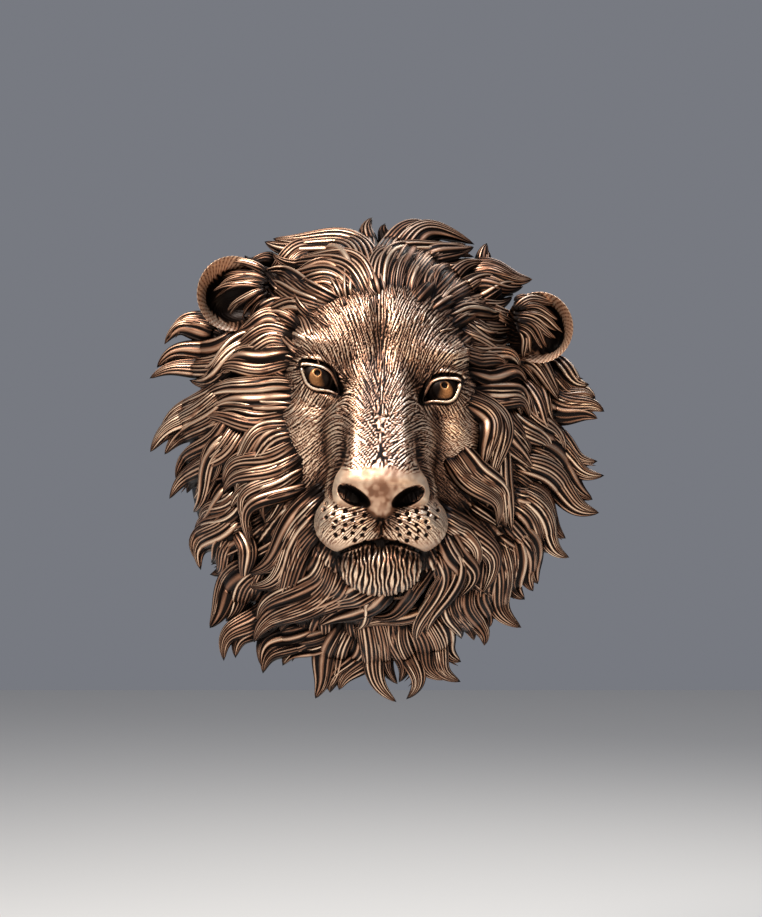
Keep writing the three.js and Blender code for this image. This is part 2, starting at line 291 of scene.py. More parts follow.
@dataclass(frozen=True)
class Eye:
    """The eyes: a ball behind an opening whose edge runs from the outer corner over the top and back."""

    centre: Triple = (55.0, 118.0, 67.0)
    radius: float = 20.0
    bed: float = 15.0
    reach: float = 36.0
    edge: tuple[tuple[float, float], ...] = (
        (14.5, 8.2),
        (7.0, 9.4),
        (0.0, 8.8),
        (-5.5, 6.8),
        (-10.0, 3.4),
        (-13.0, -3.0),
        (-16.5, -12.0),
        (-9.5, -10.2),
        (-2.0, -10.0),
        (5.0, -9.2),
        (9.8, -6.0),
        (12.4, -0.6),
    )
    rim_height: tuple[float, float] = (2.0, 2.2)
    rim_width: tuple[float, float] = (2.8, 3.4)
    rim_start: float = 0.12
    rim_power: float = 0.6
    lid_gap: float = 0.2
    lid_edge: tuple[float, float] = (3.0, -0.4)
    corner_slope: float = 0.66
    corner_drop: float = 2.0
    crease: float = 2.8
    crease_below: float = 0.35
    crease_place: tuple[float, float] = (0.7, 1.2)
    crease_width: tuple[float, float] = (0.8, 1.3)
    tail: float = 1.8
    tail_end: float = 9.0
    tail_width: float = 1.3
    tail_slope: float = 0.25
    ledge: float = 3.6
    ledge_place: float = 4.2
    ledge_width: float = 1.7
    ledge_inner: tuple[float, float] = (-6.0, 2.0)
    ledge_outer: tuple[float, float] = (26.0, 18.0)
    ledge_shine: float = 0.7
    faded: float = 0.7
    faded_span: tuple[float, float] = (0.0, -9.0)
    hollow: float = 5.0
    hollow_edge: float = 0.2

    def outline(self, steps: int = 7) -> Array:
        """The opening's edge as a smooth closed line round the eye's middle.

        Args:
            steps: Points for each given one.

        Returns:
            Its x and z, point by point.
        """
        points = np.array(self.edge)
        ways = [np.roll(points, shift, axis=0) for shift in (1, 0, -1, -2)]
        t = (np.arange(steps) / steps)[None, :, None]
        a, b, c, d = (way[:, None] for way in ways)
        line = b + 0.5 * t * (c - a + t * (2 * a - 5 * b + 4 * c - d + t * (3 * (b - c) + d - a)))
        return line.reshape(-1, 2)

    def inside(self, x: Array, z: Array) -> Array:
        """Signed distance to the opening's edge, above 0 inside.

        Args:
            x: Outwards from the eye's middle.
            z: Up from the eye's middle.

        Returns:
            One distance for each place.
        """
        start = self.outline()
        end = np.roll(start, -1, axis=0)
        px, pz = x[:, None] - start[None, :, 0], z[:, None] - start[None, :, 1]
        run = end - start
        share = np.clip((px * run[:, 0] + pz * run[:, 1]) / (run**2).sum(axis=1), 0.0, 1.0)
        gap = np.hypot(px - share * run[:, 0], pz - share * run[:, 1]).min(axis=1)
        over = (start[None, :, 1] > z[:, None]) != (end[None, :, 1] > z[:, None])
        rise = np.where(run[:, 1] == 0.0, 1e-9, run[:, 1])
        cross = start[:, 0] + (z[:, None] - start[:, 1]) * run[:, 0] / rise
        odd = (over & (x[:, None] < cross)).sum(axis=1) % 2 == 1
        return np.where(odd, gap, -gap)

    def ball(self, x: Array, z: Array) -> Array:
        """How deep the ball's front lies, and what carries on from it past the ball's side."""
        return self.centre[1] + np.sqrt(np.maximum(self.radius**2 - x * x - z * z, self.bed**2))

    def carve(self, q: Array) -> tuple[Array, Array, Array]:
        """Carves the lids into the face.

        Args:
            q: Places on the right half of the face.

        Returns:
            The depth of each place with the lids carved, then how dark it lies and how rubbed it is,
            from 0 to 1.
        """
        depth, dark, lit = q[:, 1].copy(), np.zeros(len(q)), np.zeros(len(q))
        x, z = q[:, 0] - self.centre[0], q[:, 2] - self.centre[2]
        near = (np.hypot(x, z) < self.reach) & (q[:, 1] > self.centre[1] - self.radius)
        x, z = x[near], z[near]
        out = -self.inside(x, z)
        top = smoothstep(-1.0, 1.0, z + self.corner_drop - self.corner_slope * x)
        high, wide = part_way(self.rim_height, top), part_way(self.rim_width, top)
        over_rim = np.clip(self.rim_start + (1.0 - self.rim_start) * out / wide, 0.0, 1.0)
        rim = np.sin(np.pi * over_rim) ** self.rim_power
        lid = self.ball(x, z) + self.lid_gap + high * rim
        share = smoothstep(wide + self.lid_edge[0], wide + self.lid_edge[1], out)
        carved = part_way((depth[near], lid), share)

        fold = bell(out - wide - part_way(self.crease_place, top), part_way(self.crease_width, top))
        fold = fold * part_way((self.crease_below, 1.0), top)
        outer = top * smoothstep(*self.ledge_inner, x) * smoothstep(*self.ledge_outer, x)
        ledge = bell(out - wide - self.ledge_place, self.ledge_width) * outer
        corner = np.array(self.edge[0])
        along, beside = x - corner[0], z - corner[1] + self.tail_slope * (x - corner[0])
        tail = bell(beside, self.tail_width) * smoothstep(-3.0, 0.5, along)
        tail = tail * smoothstep(self.tail_end, 2.0, along)
        carved = carved - self.crease * fold + self.ledge * ledge - self.tail * tail
        floor = np.minimum(carved, self.ball(x, z) - self.hollow)
        carved = np.where(out < -self.hollow_edge, floor, carved)
        depth[near] = carved
        dark[near] = np.clip(fold + tail + smoothstep(0.5, -0.3, out), 0.0, 1.0)
        fade = 1.0 - self.faded * top * smoothstep(*self.faded_span, x)
        lit[near] = smoothstep(0.3, 0.9, rim) * share * fade + self.ledge_shine * ledge
        return depth, dark, lit


@dataclass(frozen=True)
class Mouth:
    """The slit of the mouth, lowest at its corners."""

    middle: float = -73.0
    droop: float = 0.0078
    half_wide: float = 41.0
    half_open: float = 1.5
    inner: float = 143.0

    def line(self, x: Array) -> Array:
        """How high the slit runs at x."""
        return self.middle - self.droop * x * x


@dataclass(frozen=True)
class Head:
    """The lion's head and the dome that its mane lies on."""

    dome: Form = Form("mane dome", (-8, -12, 2), (180, 122, 192), 0)
    forms: tuple[Form, ...] = (
        Form("skull", (0, 38, 92), (98, 98, 102), 24),
        Form("face", (0, 62, 22), (97, 70, 112), 20),
        Form("forehead", (0, 96, 112), (64, 42, 48), 26),
        Form("cheekbone", (58, 98, 30), (33, 33, 32), 20),
        Form("orbit", (56, 106, 68), (28, 30, 24), 16),
        Form("jaw", (0, 96, -82), (62, 54, 42), 18),
        Form("muzzle", (0, 136, -30), (50, 42, 36), 14),
        Form("bridge flank", (22, 134, 22), (27, 30, 48), 14),
        Form(WHISKER_PAD, (26, 151, -57), (33, 37, 28), 6),
        Form("chin", (0, 141, -96), (37, 31, 26), 5),
        Form("brow ridge", (49, 121, 97), (30, 17, 11), 20, 12),
    )
    bridge: Bridge = Bridge()
    nose: tuple[Form, ...] = (
        Form("nose leather", (0, 178, -20), (40, 25, 19), 9),
        Form("nose wing", (29, 175, -30), (13.5, 19, 13), 6),
        Form("nose column", (0, 181, -38), (13, 17, 14), 9),
    )
    nostril: Form = Form("nostril", (24, 195, -33.5), (15.5, 20, 7), 2.4, 31)
    philtrum: Form = Form("philtrum", (0, 196, -62), (2.2, 14, 12), 4)
    furrow: Form = Form("brow furrow", (0, 146, 128), (5, 9, 34), 12)
    eye: Eye = Eye()
    socket: Form = Form("socket", (54, 147, 66), (21, 13, 12.5), 7, 26)
    mouth: Mouth = Mouth()
    lean: float = math.tan(math.radians(5.6))
    lean_span: tuple[float, float] = (-60.0, 60.0)
    slit_fillet: float = 2.5
    ray_reach: float = 270.0
    ray_steps: int = 46
    ray_stride: float = 0.92
    ray_gap: float = 0.02
    normal_step: float = 0.8
    plain: bool = False

    def nose_distance(self, q: Array) -> Array:
        """Signed distance to the nose leather alone.

        Args:
            q: Places on the mirrored half.

        Returns:
            Below 0 inside it.
        """
        distance = self.nose[0].distance(q)
        for form in self.nose[1:]:
            distance = blend(distance, form.distance(q), form.fillet)
        return distance

    def distance(self, p: Array) -> Array:
        """Signed distance of places to the whole head.

        Args:
            p: Places, one to a row.

        Returns:
            One distance for each place, below 0 inside.
        """
        q = np.column_stack([np.abs(p[:, 0]), p[:, 1], p[:, 2]])
        distance = self.dome.distance(p)
        if self.plain:
            return distance
        for form in self.forms:
            distance = blend(distance, form.distance(q), form.fillet)
        distance = blend(distance, self.bridge.distance(q), self.bridge.fillet)
        for cut in (self.socket, self.furrow):
            distance = -blend(-distance, cut.distance(q), cut.fillet)
        for form in self.nose:
            distance = blend(distance, form.distance(q), form.fillet)
        for cut in (self.nostril, self.philtrum):
            distance = -blend(-distance, cut.distance(q), cut.fillet)
        return -blend(-distance, self.slit(q), self.slit_fillet)

    def slit(self, q: Array) -> Array:
        """Signed distance to the slit of the mouth.

        Args:
            q: Places on the mirrored half.

        Returns:
            Below 0 inside it.
        """
        m = self.mouth
        out = np.stack(
            [
                np.maximum(q[:, 0] - m.half_wide, 0.0),
                np.maximum(m.inner - q[:, 1], 0.0),
                np.abs(q[:, 2] - m.line(q[:, 0])),
            ],
            axis=1,
        )
        return np.linalg.norm(out, axis=1) - m.half_open

    def leaned(self, p: Array) -> Array:
        """Where the leaning head carries places laid out square.

        Args:
            p: The places.

        Returns:
            Where each comes to lie.
        """
        moved = p.copy()
        moved[:, 2] -= p[:, 0] * self.lean * smoothstep(*self.lean_span, p[:, 2])
        return moved

    def trace(self, start: Array, direction: Array, reach: float) -> Array:
        """Comes in from outside along rays until the head is met.

        Args:
            start: Where each ray starts, inside the head.
            direction: Where each ray goes, at length 1.
            reach: How far out the search begins.

        Returns:
            How far from its start each ray leaves the head.
        """
        start = np.broadcast_to(start, direction.shape)
        length = np.full(len(direction), reach)
        live = np.arange(len(direction))
        for _ in range(self.ray_steps):
            gap = self.distance(start[live] + direction[live] * length[live, None])
            length[live] -= self.ray_stride * gap
            live = live[(np.abs(gap) > self.ray_gap) & (length[live] > 0.0)]
            if len(live) == 0:
                break
        return np.maximum(length, 0.0)

    def normals(self, p: Array) -> Array:
        """The direction straight out of the head at places on it."""
        steps = self.normal_step * np.eye(3)
        return unit(np.stack([self.distance(p + step) - self.distance(p - step) for step in steps], axis=1))


# Fur


@dataclass(frozen=True)
class Guide:
    """Which way the fur grows at a place on the right half of the face, in degrees from straight right."""

    x: float
    z: float
    angle: float


GUIDES = (
    Guide(0, -5, 90),
    Guide(0, 40, 90),
    Guide(14, 5, 42),
    Guide(14, 35, 48),
    Guide(28, 12, 34),
    Guide(28, 40, 44),
    Guide(0, 80, 90),
    Guide(13, 68, 62),
    Guide(0, 130, 90),
    Guide(0, 175, 90),
    Guide(30, 92, 76),
    Guide(55, 98, 58),
    Guide(76, 98, 24),
    Guide(20, 120, 68),
    Guide(40, 145, 54),
    Guide(60, 165, 42),
    Guide(76, 140, 32),
    Guide(64, 112, 44),
    Guide(88, 108, 14),
    Guide(40, 48, -62),
    Guide(68, 50, -64),
    Guide(55, 28, -44),
    Guide(45, 8, -42),
    Guide(76, 26, -38),
    Guide(88, 60, -8),
    Guide(92, 20, -8),
    Guide(88, -12, -24),
    Guide(64, -18, -48),
    Guide(50, -40, -40),
    Guide(30, -45, -14),
    Guide(30, -70, -46),
    Guide(70, -45, -46),
    Guide(60, -75, -62),
    Guide(0, -95, -90),
    Guide(25, -100, -86),
    Guide(45, -110, -78),
    Guide(0, -150, -90),
    Guide(60, -140, -66),
    Guide(105, -85, -52),
    Guide(135, -10, -36),
    Guide(135, 60, -14),
    Guide(110, 125, 24),
    Guide(60, 200, 52),
    Guide(0, 210, 90),
)


@dataclass(frozen=True)
class Coat:
    """Fur of one fineness, in parts: the space between its strands, their length, and its reach."""

    spacing: float
    length: float
    half_wide: float
    half_high: float
    cell: float


@dataclass
class Fur:
    """Strands that follow the guides, carved as rises and falls between -1 and 1."""

    half_wide: float = 215.0
    half_high: float = 235.0
    cell: float = 5.0
    pull: float = 20.0
    softness: float = 0.15
    parting: float = 4.0
    band: tuple[float, float] = (0.155, 1.9)
    contrast: float = 1.6
    rng: np.random.Generator = field(default_factory=lambda: np.random.default_rng(SEED))
    flow: tuple[Raster, Raster] = field(init=False)

    def __post_init__(self) -> None:
        """Works out which way the fur grows everywhere."""
        coarse = Raster.blank(-self.half_wide, -self.half_high, self.half_wide, self.half_high, self.cell)
        x, z = coarse.places()
        total = np.zeros(x.shape + (2,))
        for guide in GUIDES:
            a = math.radians(guide.angle)
            apart = ((np.abs(x) - guide.x) ** 2 + (z - guide.z) ** 2) / self.pull**2
            weight = 1.0 / (apart + self.softness) ** 2
            sideways = np.sign(x + 1e-6) * np.minimum(1.0, np.abs(x) / self.parting)
            total[..., 0] += weight * math.cos(a) * sideways
            total[..., 1] += weight * math.sin(a)
        total = unit(total)
        self.flow = tuple(Raster(coarse.left, coarse.bottom, coarse.cell, total[..., k]) for k in (0, 1))

    def coat(self, coat: Coat) -> Raster:
        """Carves strands of one fineness.

        Args:
            coat: How far apart and how long the strands are, and how far the coat reaches.

        Returns:
            The strands' rises and falls.
        """
        made = Raster.blank(-coat.half_wide, -coat.half_high, coat.half_wide, coat.half_high, coat.cell)
        spots = self.rng.standard_normal(made.values.shape)
        spread = self.band[0] * coat.spacing / coat.cell
        spots = soften(spots, spread) - soften(spots, self.band[1] * spread)
        source = Raster(made.left, made.bottom, made.cell, spots)
        x, z = made.places()
        total = spots.copy()
        steps = int(round(coat.length / 2 / coat.cell))
        for way in (-1.0, 1.0):
            px, pz = x.copy(), z.copy()
            for _ in range(steps):
                fx, fz = self.flow[0].read(px, pz), self.flow[1].read(px, pz)
                px += way * coat.cell * fx
                pz += way * coat.cell * fz
                total += source.read(px, pz)
        total /= total.std()
        made.values = np.tanh(self.contrast * total)
        return made


# Carving meshes


class Mark(Enum):
    """What the finish needs to know at each vertex, by attribute name."""

    RIDGE = "ridge"
    GOLD = "gold"
    SMOOTH = "smooth"
    ACROSS = "across"
    ALONG = "along"


class Carving:
    """Grows one piece of the casting from grids that are bent and closed."""

    def __init__(self) -> None:
        """Starts an empty piece at the scale of the casting."""
        low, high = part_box(CASTING)
        across = (high[2] - low[2]) / PARTS_HIGH
        deep = (high[1] - low[1]) / PARTS_DEEP
        self.scale = np.array([across, -deep, across])
        self.mesh = bmesh.new()
        self.places: list[Array] = []
        self.marks: dict[Mark, list[Array]] = {mark: [] for mark in Mark}

    def add(self, places: Array, marks: dict[Mark, Array]) -> None:
        """Adds a grid that is to be bent to the given places.

        Args:
            places: Rows and columns of places in parts.
            marks: Values for the same rows and columns.
        """
        rows, columns = places.shape[:2]
        bmesh.ops.create_grid(self.mesh, x_segments=columns - 1, y_segments=rows - 1, size=1.0)
        self.places.append(places.reshape(-1, 3) * self.scale)
        for mark in Mark:
            self.marks[mark].append(marks[mark].ravel())

    def bend(self, name: str) -> bpy.types.Mesh:
        """Bends the grids to their places and merges their seams and ends.

        Args:
            name: The mesh's name.

        Returns:
            The mesh, which the carving goes on working on.
        """
        data = bpy.data.meshes.new(name)
        self.mesh.to_mesh(data)
        data.vertices.foreach_set("co", np.concatenate(self.places).ravel())
        for mark, values in self.marks.items():
            layer = data.attributes.new(mark.value, "FLOAT", "POINT")
            layer.data.foreach_set("value", np.concatenate(values).astype(np.float32))
        self.mesh.clear()
        self.mesh.from_mesh(data)
        bmesh.ops.remove_doubles(self.mesh, verts=self.mesh.verts, dist=1e-6)
        return data

    def cap(self, inset: float, depth: float) -> None:
        """Turns the open edge in behind the surface and fills it.

        Args:
            inset: The share of the way to the middle that it turns in.
            depth: How deep it goes then, in parts.
        """
        rim = [edge for edge in self.mesh.edges if edge.is_boundary]
        made = bmesh.ops.extrude_edge_only(self.mesh, edges=rim)["geom"]
        inner = [item for item in made if isinstance(item, bmesh.types.BMVert)]
        for vertex in inner:
            vertex.co.x *= 1.0 - inset
            vertex.co.z *= 1.0 - inset
            vertex.co.y = depth * self.scale[1]
        edges = [item for item in made if isinstance(item, bmesh.types.BMEdge) and item.is_boundary]
        bmesh.ops.edgeloop_fill(self.mesh, edges=edges)

    def finish(self, data: bpy.types.Mesh) -> bpy.types.Object:
        """Points the faces out and makes the object.

        Args:
            data: The mesh that was bent.

        Returns:
            The finished object.
        """
        bmesh.ops.dissolve_degenerate(self.mesh, edges=self.mesh.edges, dist=1e-7)
        bmesh.ops.recalc_face_normals(self.mesh, faces=self.mesh.faces)
        self.mesh.to_mesh(data)
        self.mesh.free()
        data.shade_smooth()
        piece = bpy.data.objects.new(data.name, data)
        bpy.context.scene.collection.objects.link(piece)
        return piece


@dataclass(frozen=True)
class Wrap:
    """A square grid wrapped evenly round the head from its front to a last angle."""

    start: Triple
    last_angle: float
    columns: int
    dense: tuple[tuple[Form, float], ...] = ()
    dense_edge: tuple[float, float] = (10.0, -6.0)
    rough_columns: int = 64
    rounds: int = 80
    ease: float = 0.6
    settle: float = 0.8

    def line(self, columns: int) -> Array:
        """Places from -1 to 1."""
        return np.linspace(-1.0, 1.0, columns)

    def lay(self, head: Head) -> Array:
        """Lays the grid on the head, roughly at first and then finely.

        Args:
            head: What it is laid on.

        Returns:
            Rows and columns of places in parts.
        """
        start = np.array(self.start)
        u, v = np.meshgrid(self.line(self.rough_columns), self.line(self.rough_columns))
        x = u * np.sqrt(1.0 - v * v / 2.0)
        z = v * np.sqrt(1.0 - u * u / 2.0)
        r = np.hypot(x, z)
        angle = np.radians(self.last_angle) * r
        share = np.sin(angle) / np.maximum(r, 1e-9)
        way = np.stack([x * share, np.cos(angle), z * share], axis=-1)
        length = head.trace(start, way.reshape(-1, 3), head.ray_reach).reshape(r.shape)
        mid, fore, aft = slice(1, -1), slice(0, -2), slice(2, None)
        for _ in range(self.rounds):
            p = start + way * length[..., None]
            total, weight = np.zeros_like(p[mid, mid]), 0.0
            strength = np.ones(r.shape + (1,))
            for form, gain in self.dense:
                inside = smoothstep(*self.dense_edge, form.distance(p.reshape(-1, 3)))
                strength *= 1.0 + (gain - 1.0) * inside.reshape(strength.shape)
            for rows, columns in ((fore, mid), (aft, mid), (mid, fore), (mid, aft)):
                pull = strength[rows, columns] + strength[mid, mid]
                total += p[rows, columns] * pull
                weight = weight + pull
            moved = (1.0 - self.ease) * p[mid, mid] + self.ease * total / weight - start
            length[mid, mid] = np.linalg.norm(moved, axis=-1)
            way[mid, mid] = unit(moved)
            for _ in range(2):
                gap = head.distance((start + way * length[..., None]).reshape(-1, 3)).reshape(r.shape)
                length -= self.settle * gap
        u, v = np.meshgrid(self.line(self.columns), self.line(self.columns))
        cell = 2.0 / (self.rough_columns - 1)
        fine = np.stack([Raster(-1.0, -1.0, cell, way[..., k]).read(u, v) for k in range(3)], axis=-1)
        fine = unit(fine).reshape(-1, 3)
        length = head.trace(start, fine, head.ray_reach)
        return (start + fine * length[:, None]).reshape(self.columns, self.columns, 3)


# Face


FACE_ZONE = Form("face zone", (0, 110, 20), (92, 200, 122), 0)
BROW_ZONE = Form("brow zone", (0, 130, 98), (92, 76, 72), 0)
MUZZLE_ZONE = Form("muzzle zone", (0, 150, -60), (67, 62, 69), 0)


@dataclass(frozen=True)
class Skin:
    """One skin of the face: its grid, the zone that it shows in, and how deep its edge turns in behind."""

    name: str
    wrap: Wrap
    zone: Form | None
    behind: float


@dataclass
class Face:
    """The face, as closed skins that swap places at the edges of their zones, one above the other."""

    head: Head
    fur: Fur
    bed: Wrap = Wrap((-8.0, 0.0, 2.0), 90.0, 60)
    bed_form: Form = Form("mane bed", (-7, -12, 2), (176, 120, 189), 0)
    skins: tuple[Skin, ...] = (
        Skin(
            "lion_face",
            Wrap((0.0, 20.0, 8.0), 72.0, 252, ((FACE_ZONE, 5.0), (BROW_ZONE, 0.2), (MUZZLE_ZONE, 0.2))),
            None,
            24.0,
        ),
        Skin("lion_brow", Wrap((0.0, 40.0, 96.0), 62.0, 270, ((BROW_ZONE, 4.0),)), BROW_ZONE, 70.0),
        Skin(
            "lion_muzzle",
            Wrap((0.0, 118.0, -52.0), 88.0, 264, ((MUZZLE_ZONE, 4.0),)),
            MUZZLE_ZONE,
            100.0,
        ),
    )
    sunk: float = 2.4
    face_centre: tuple[float, float] = (0.0, 22.0)
    face_radii: tuple[float, float] = (92.0, 116.0)
    hairline: float = 148.0
    fine: Coat = Coat(2.1, 11.0, 125.0, 165.0, 0.42)
    coarse: Coat = Coat(4.8, 34.0, 215.0, 235.0, 0.8)
    fine_rise: float = 0.5
    coarse_rise: float = 0.9
    chin_rise: float = 1.1
    chin_pitch: float = 3.8
    wild_edge: tuple[float, float] = (0.86, 1.12)
    lip_edge: tuple[float, float] = (4.0, 1.2)
    lip_side: tuple[float, float] = (46.0, 40.0)
    slit_edge: tuple[float, float] = (2.6, 1.2)
    slit_side: tuple[float, float] = (44.0, 38.0)
    mouth_front: tuple[float, float] = (120.0, 140.0)
    underside: tuple[float, float] = (-0.85, -0.5)
    pit_rows: int = 5
    pit_start: tuple[float, float] = (14.0, -49.0)
    pit_pitch: tuple[float, float] = (8.6, 6.0)
    pit_stagger: float = 2.0
    pit_bend: Triple = (16.0, 0.16, 0.004)
    pit_radius: float = 1.8
    pit_depth: float = 2.2
    unroll: float = 0.8
    unroll_from: float = 172.0
    leather_rise: float = 0.14
    leather_grain: float = 1.6
    plain_tone: float = 0.57
    strand_tone: float = 0.55
    pit_tone: float = 0.9
    leather_tone: tuple[float, float] = (0.1, 0.05)
    chin_tone: float = 0.08
    lid_tone: float = 0.45
    pad_tone: float = 0.12
    # cheek_light_tone paints light on the cheeks.
    cheek_light_tone: float = 0.2
    # corner_shade_tone paints shade at the inner corners of the eyes.
    corner_shade_tone: float = 0.3
    nostril_tone: float = 0.5
    coats: tuple[Raster, Raster] = field(init=False)
    skin_grain: Raster = field(init=False)

    def __post_init__(self) -> None:
        """Combs both coats and grains the leather."""
        self.coats = (self.fur.coat(self.fine), self.fur.coat(self.coarse))
        self.skin_grain = Raster.blank(-60.0, -60.0, 60.0, 20.0, 0.8)
        spots = soften(self.fur.rng.standard_normal(self.skin_grain.values.shape), self.leather_grain)
        self.skin_grain.values = np.tanh(spots / spots.std())

    def leather(self, q: Array) -> Array:
        """1 on the nose leather, 0 off it."""
        return smoothstep(2.4, 0.4, self.head.nose_distance(q))

    def chin(self, q: Array) -> Array:
        """1 on the chin tuft, 0 off it."""
        below = smoothstep(-1.0, -4.0, q[:, 2] - self.head.mouth.line(q[:, 0]))
        return below * smoothstep(44.0, 38.0, q[:, 0]) * smoothstep(128.0, 136.0, q[:, 1])

    def pad(self, q: Array) -> Array:
        """1 on the whisker pads, 0 off them.

        Args:
            q: Places on the mirrored half.

        Returns:
            A share for each place.
        """
        form = next(form for form in self.head.forms if form.name == WHISKER_PAD)
        above = smoothstep(-2.0, 1.0, q[:, 2] - self.head.mouth.line(q[:, 0]))
        return smoothstep(3.5, 0.5, form.distance(q)) * above

    def tuft(self, x: Array, z: Array) -> Array:
        """Wavy upright grooves of the chin tuft, between -1 and 1.

        Args:
            x: Places to the right.
            z: Places up.

        Returns:
            How high each place stands.
        """
        sway = 1.0 * np.sin(z * 0.17 + 0.23 * x) + 0.5 * np.sin(z * 0.37 - 0.51 * x + 1.0)
        spread = 1.0 + 0.0016 * (z + 75.0)
        wave = np.abs(np.sin(np.pi * (x * spread + sway) / self.chin_pitch))
        return 1.9 * wave**1.1 - 1.25 + 0.35 * self.coats[0].read(x, z)

    def pits(self, q: Array) -> Array:
        """How deep the whisker pits are at places, from 0 to 1.

        Args:
            q: Places on the mirrored half.

        Returns:
            The depth at each place.
        """
        pits = np.zeros(len(q))
        for row in range(self.pit_rows):
            for spot in range(self.pit_rows - row // 3):
                x = self.pit_start[0] + self.pit_pitch[0] * spot + self.pit_stagger * (row % 2)
                aside = x - self.pit_bend[0]
                z = self.pit_start[1] - self.pit_pitch[1] * row
                z = z + self.pit_bend[1] * aside + self.pit_bend[2] * aside**2
                gap = np.hypot(q[:, 0] - x, q[:, 2] - z)
                pits = np.maximum(pits, smoothstep(self.pit_radius * 1.3, self.pit_radius * 0.5, gap))
        return pits

    def carve(self, carving: Carving, laid: Array, sink: Array) -> None:
        """Carves a laid grid with lids, fur and pits.

        Args:
            carving: The mesh that it is added to.
            laid: Rows and columns of places on the head.
            sink: How far each place is sunk under another skin.
        """
        p = laid.reshape(-1, 3)
        normal = self.head.normals(p)
        q = np.column_stack([np.abs(p[:, 0]), p[:, 1], p[:, 2]])
        x, z = p[:, 0], p[:, 2]
        carved, dark, lit = self.head.eye.carve(q)
        off_lids = smoothstep(1.5, 5.0, -self.off_eye(q))

        high = np.where(z > self.face_centre[1], self.hairline, self.face_radii[1])
        edge = np.hypot((x - self.face_centre[0]) / self.face_radii[0], (z - self.face_centre[1]) / high)
        wild = smoothstep(*self.wild_edge, edge)
        leather, chin, pad = self.leather(q), self.chin(q), self.pad(q)
        line = np.abs(q[:, 2] - self.head.mouth.line(q[:, 0]))
        front = smoothstep(*self.mouth_front, q[:, 1])
        lip = smoothstep(*self.lip_edge, line) * smoothstep(*self.lip_side, q[:, 0]) * front
        slit = smoothstep(*self.slit_edge, line) * smoothstep(*self.slit_side, q[:, 0]) * front
        nostril = smoothstep(1.4, -0.4, self.head.nostril.distance(q))
        unrolled = x + np.sign(x) * self.unroll * np.maximum(self.unroll_from - q[:, 1], 0.0) * pad
        strand = self.coats[0].read(unrolled, z) * (1.0 - wild) + self.coats[1].read(x, z) * wild
        strand = strand * (1.0 - chin) + self.tuft(x, z) * chin
        rise = self.fine_rise * (1.0 - wild) + self.coarse_rise * wild
        rise = rise * (1.0 - chin) + self.chin_rise * chin
        furred = np.maximum(chin, smoothstep(*self.underside, normal[:, 2]))
        bare = (1.0 - leather) * (1.0 - lip) * off_lids * furred
        rise *= bare * (1.0 - 0.3 * pad)
        pits = self.pits(q) * pad * (1.0 - leather)
        grain = self.skin_grain.read(x, z)
        lift = strand * rise - pits * self.pit_depth - sink.ravel() + self.leather_rise * leather * grain
        p = p + normal * lift[:, None]
        p[:, 1] += carved - q[:, 1]
        places = self.head.leaned(p)

        ridge = self.plain_tone + self.strand_tone * strand * bare * (1.0 - 0.2 * pad)
        ridge = ridge - self.pit_tone * pits - self.chin_tone * chin
        ridge = ridge + (self.leather_tone[0] + self.leather_tone[1] * grain) * leather
        # Painted light: the cheeks are made brighter in colour, as if lit.
        cheek = smoothstep(28.0, 48.0, q[:, 0]) * smoothstep(62.0, 44.0, z) * smoothstep(-70.0, -40.0, z)
        # Painted shade: a dark patch between each eye's inner corner and the bridge, where no hollow is
        # carved.
        corner = np.exp(-(((q[:, 0] - 37.0) / 5.0) ** 2) - ((z - 56.0) / 11.0) ** 2)
        ridge = ridge + self.lid_tone * lit + self.pad_tone * pad
        ridge = ridge + self.cheek_light_tone * cheek - self.corner_shade_tone * corner
        sunk = np.maximum(dark, np.maximum(slit, nostril))
        ridge = ridge * (1.0 - sunk) - self.nostril_tone * nostril
        marks = {
            Mark.RIDGE: ridge,
            Mark.GOLD: 0.6 + 0.3 * leather + 0.15 * pad + 0.05 * chin,
            Mark.SMOOTH: leather,
            Mark.ACROSS: np.zeros_like(x),
            Mark.ALONG: z,
        }
        shape = laid.shape[:2]
        carving.add(places.reshape(laid.shape), {m: v.reshape(shape) for m, v in marks.items()})

    def off_eye(self, q: Array) -> Array:
        """Signed distance to the eye's opening, well below 0 away from it.

        Args:
            q: Places on the mirrored half.

        Returns:
            Above 0 inside it.
        """
        x, z = q[:, 0] - self.head.eye.centre[0], q[:, 2] - self.head.eye.centre[2]
        found = np.full(len(q), -99.0)
        near = np.hypot(x, z) < self.head.eye.reach
        found[near] = self.head.eye.inside(x[near], z[near])
        return found

    def build(self) -> list[bpy.types.Object]:
        """Carves the face, the muzzle and the bed of the mane.

        Returns:
            Their objects.
        """
        pieces = []
        for skin in self.skins:
            laid = skin.wrap.lay(self.head)
            q = laid.reshape(-1, 3)
            if skin.zone is None:
                inside = np.maximum.reduce([-other.zone.distance(q) for other in self.skins if other.zone])
            else:
                inside = skin.zone.distance(q)
            carving = Carving()
            self.carve(carving, laid, self.sunk * smoothstep(-0.6, 4.0, inside))
            data = carving.bend(skin.name)
            carving.cap(0.3, skin.behind)
            pieces.append(carving.finish(data))
        pieces.append(self.build_bed())
        return pieces

    def build_bed(self) -> bpy.types.Object:
        """Carves the dome that the mane lies on, flat behind.

        Returns:
            Its object.
        """
        dome = Head(dome=self.bed_form, forms=(), plain=True)
        laid = self.bed.lay(dome)
        p = laid.reshape(-1, 3)
        strand = self.coats[1].read(p[:, 0], p[:, 2]) * smoothstep(3.0, 12.0, p[:, 1])
        p = p + unit(p - np.array(self.bed.start)) * (self.coarse_rise * strand)[:, None]
        p[:, 1] = np.maximum(p[:, 1], 0.0)
        shape = laid.shape[:2]
        plain = np.zeros(shape)
        marks = {mark: plain for mark in Mark}
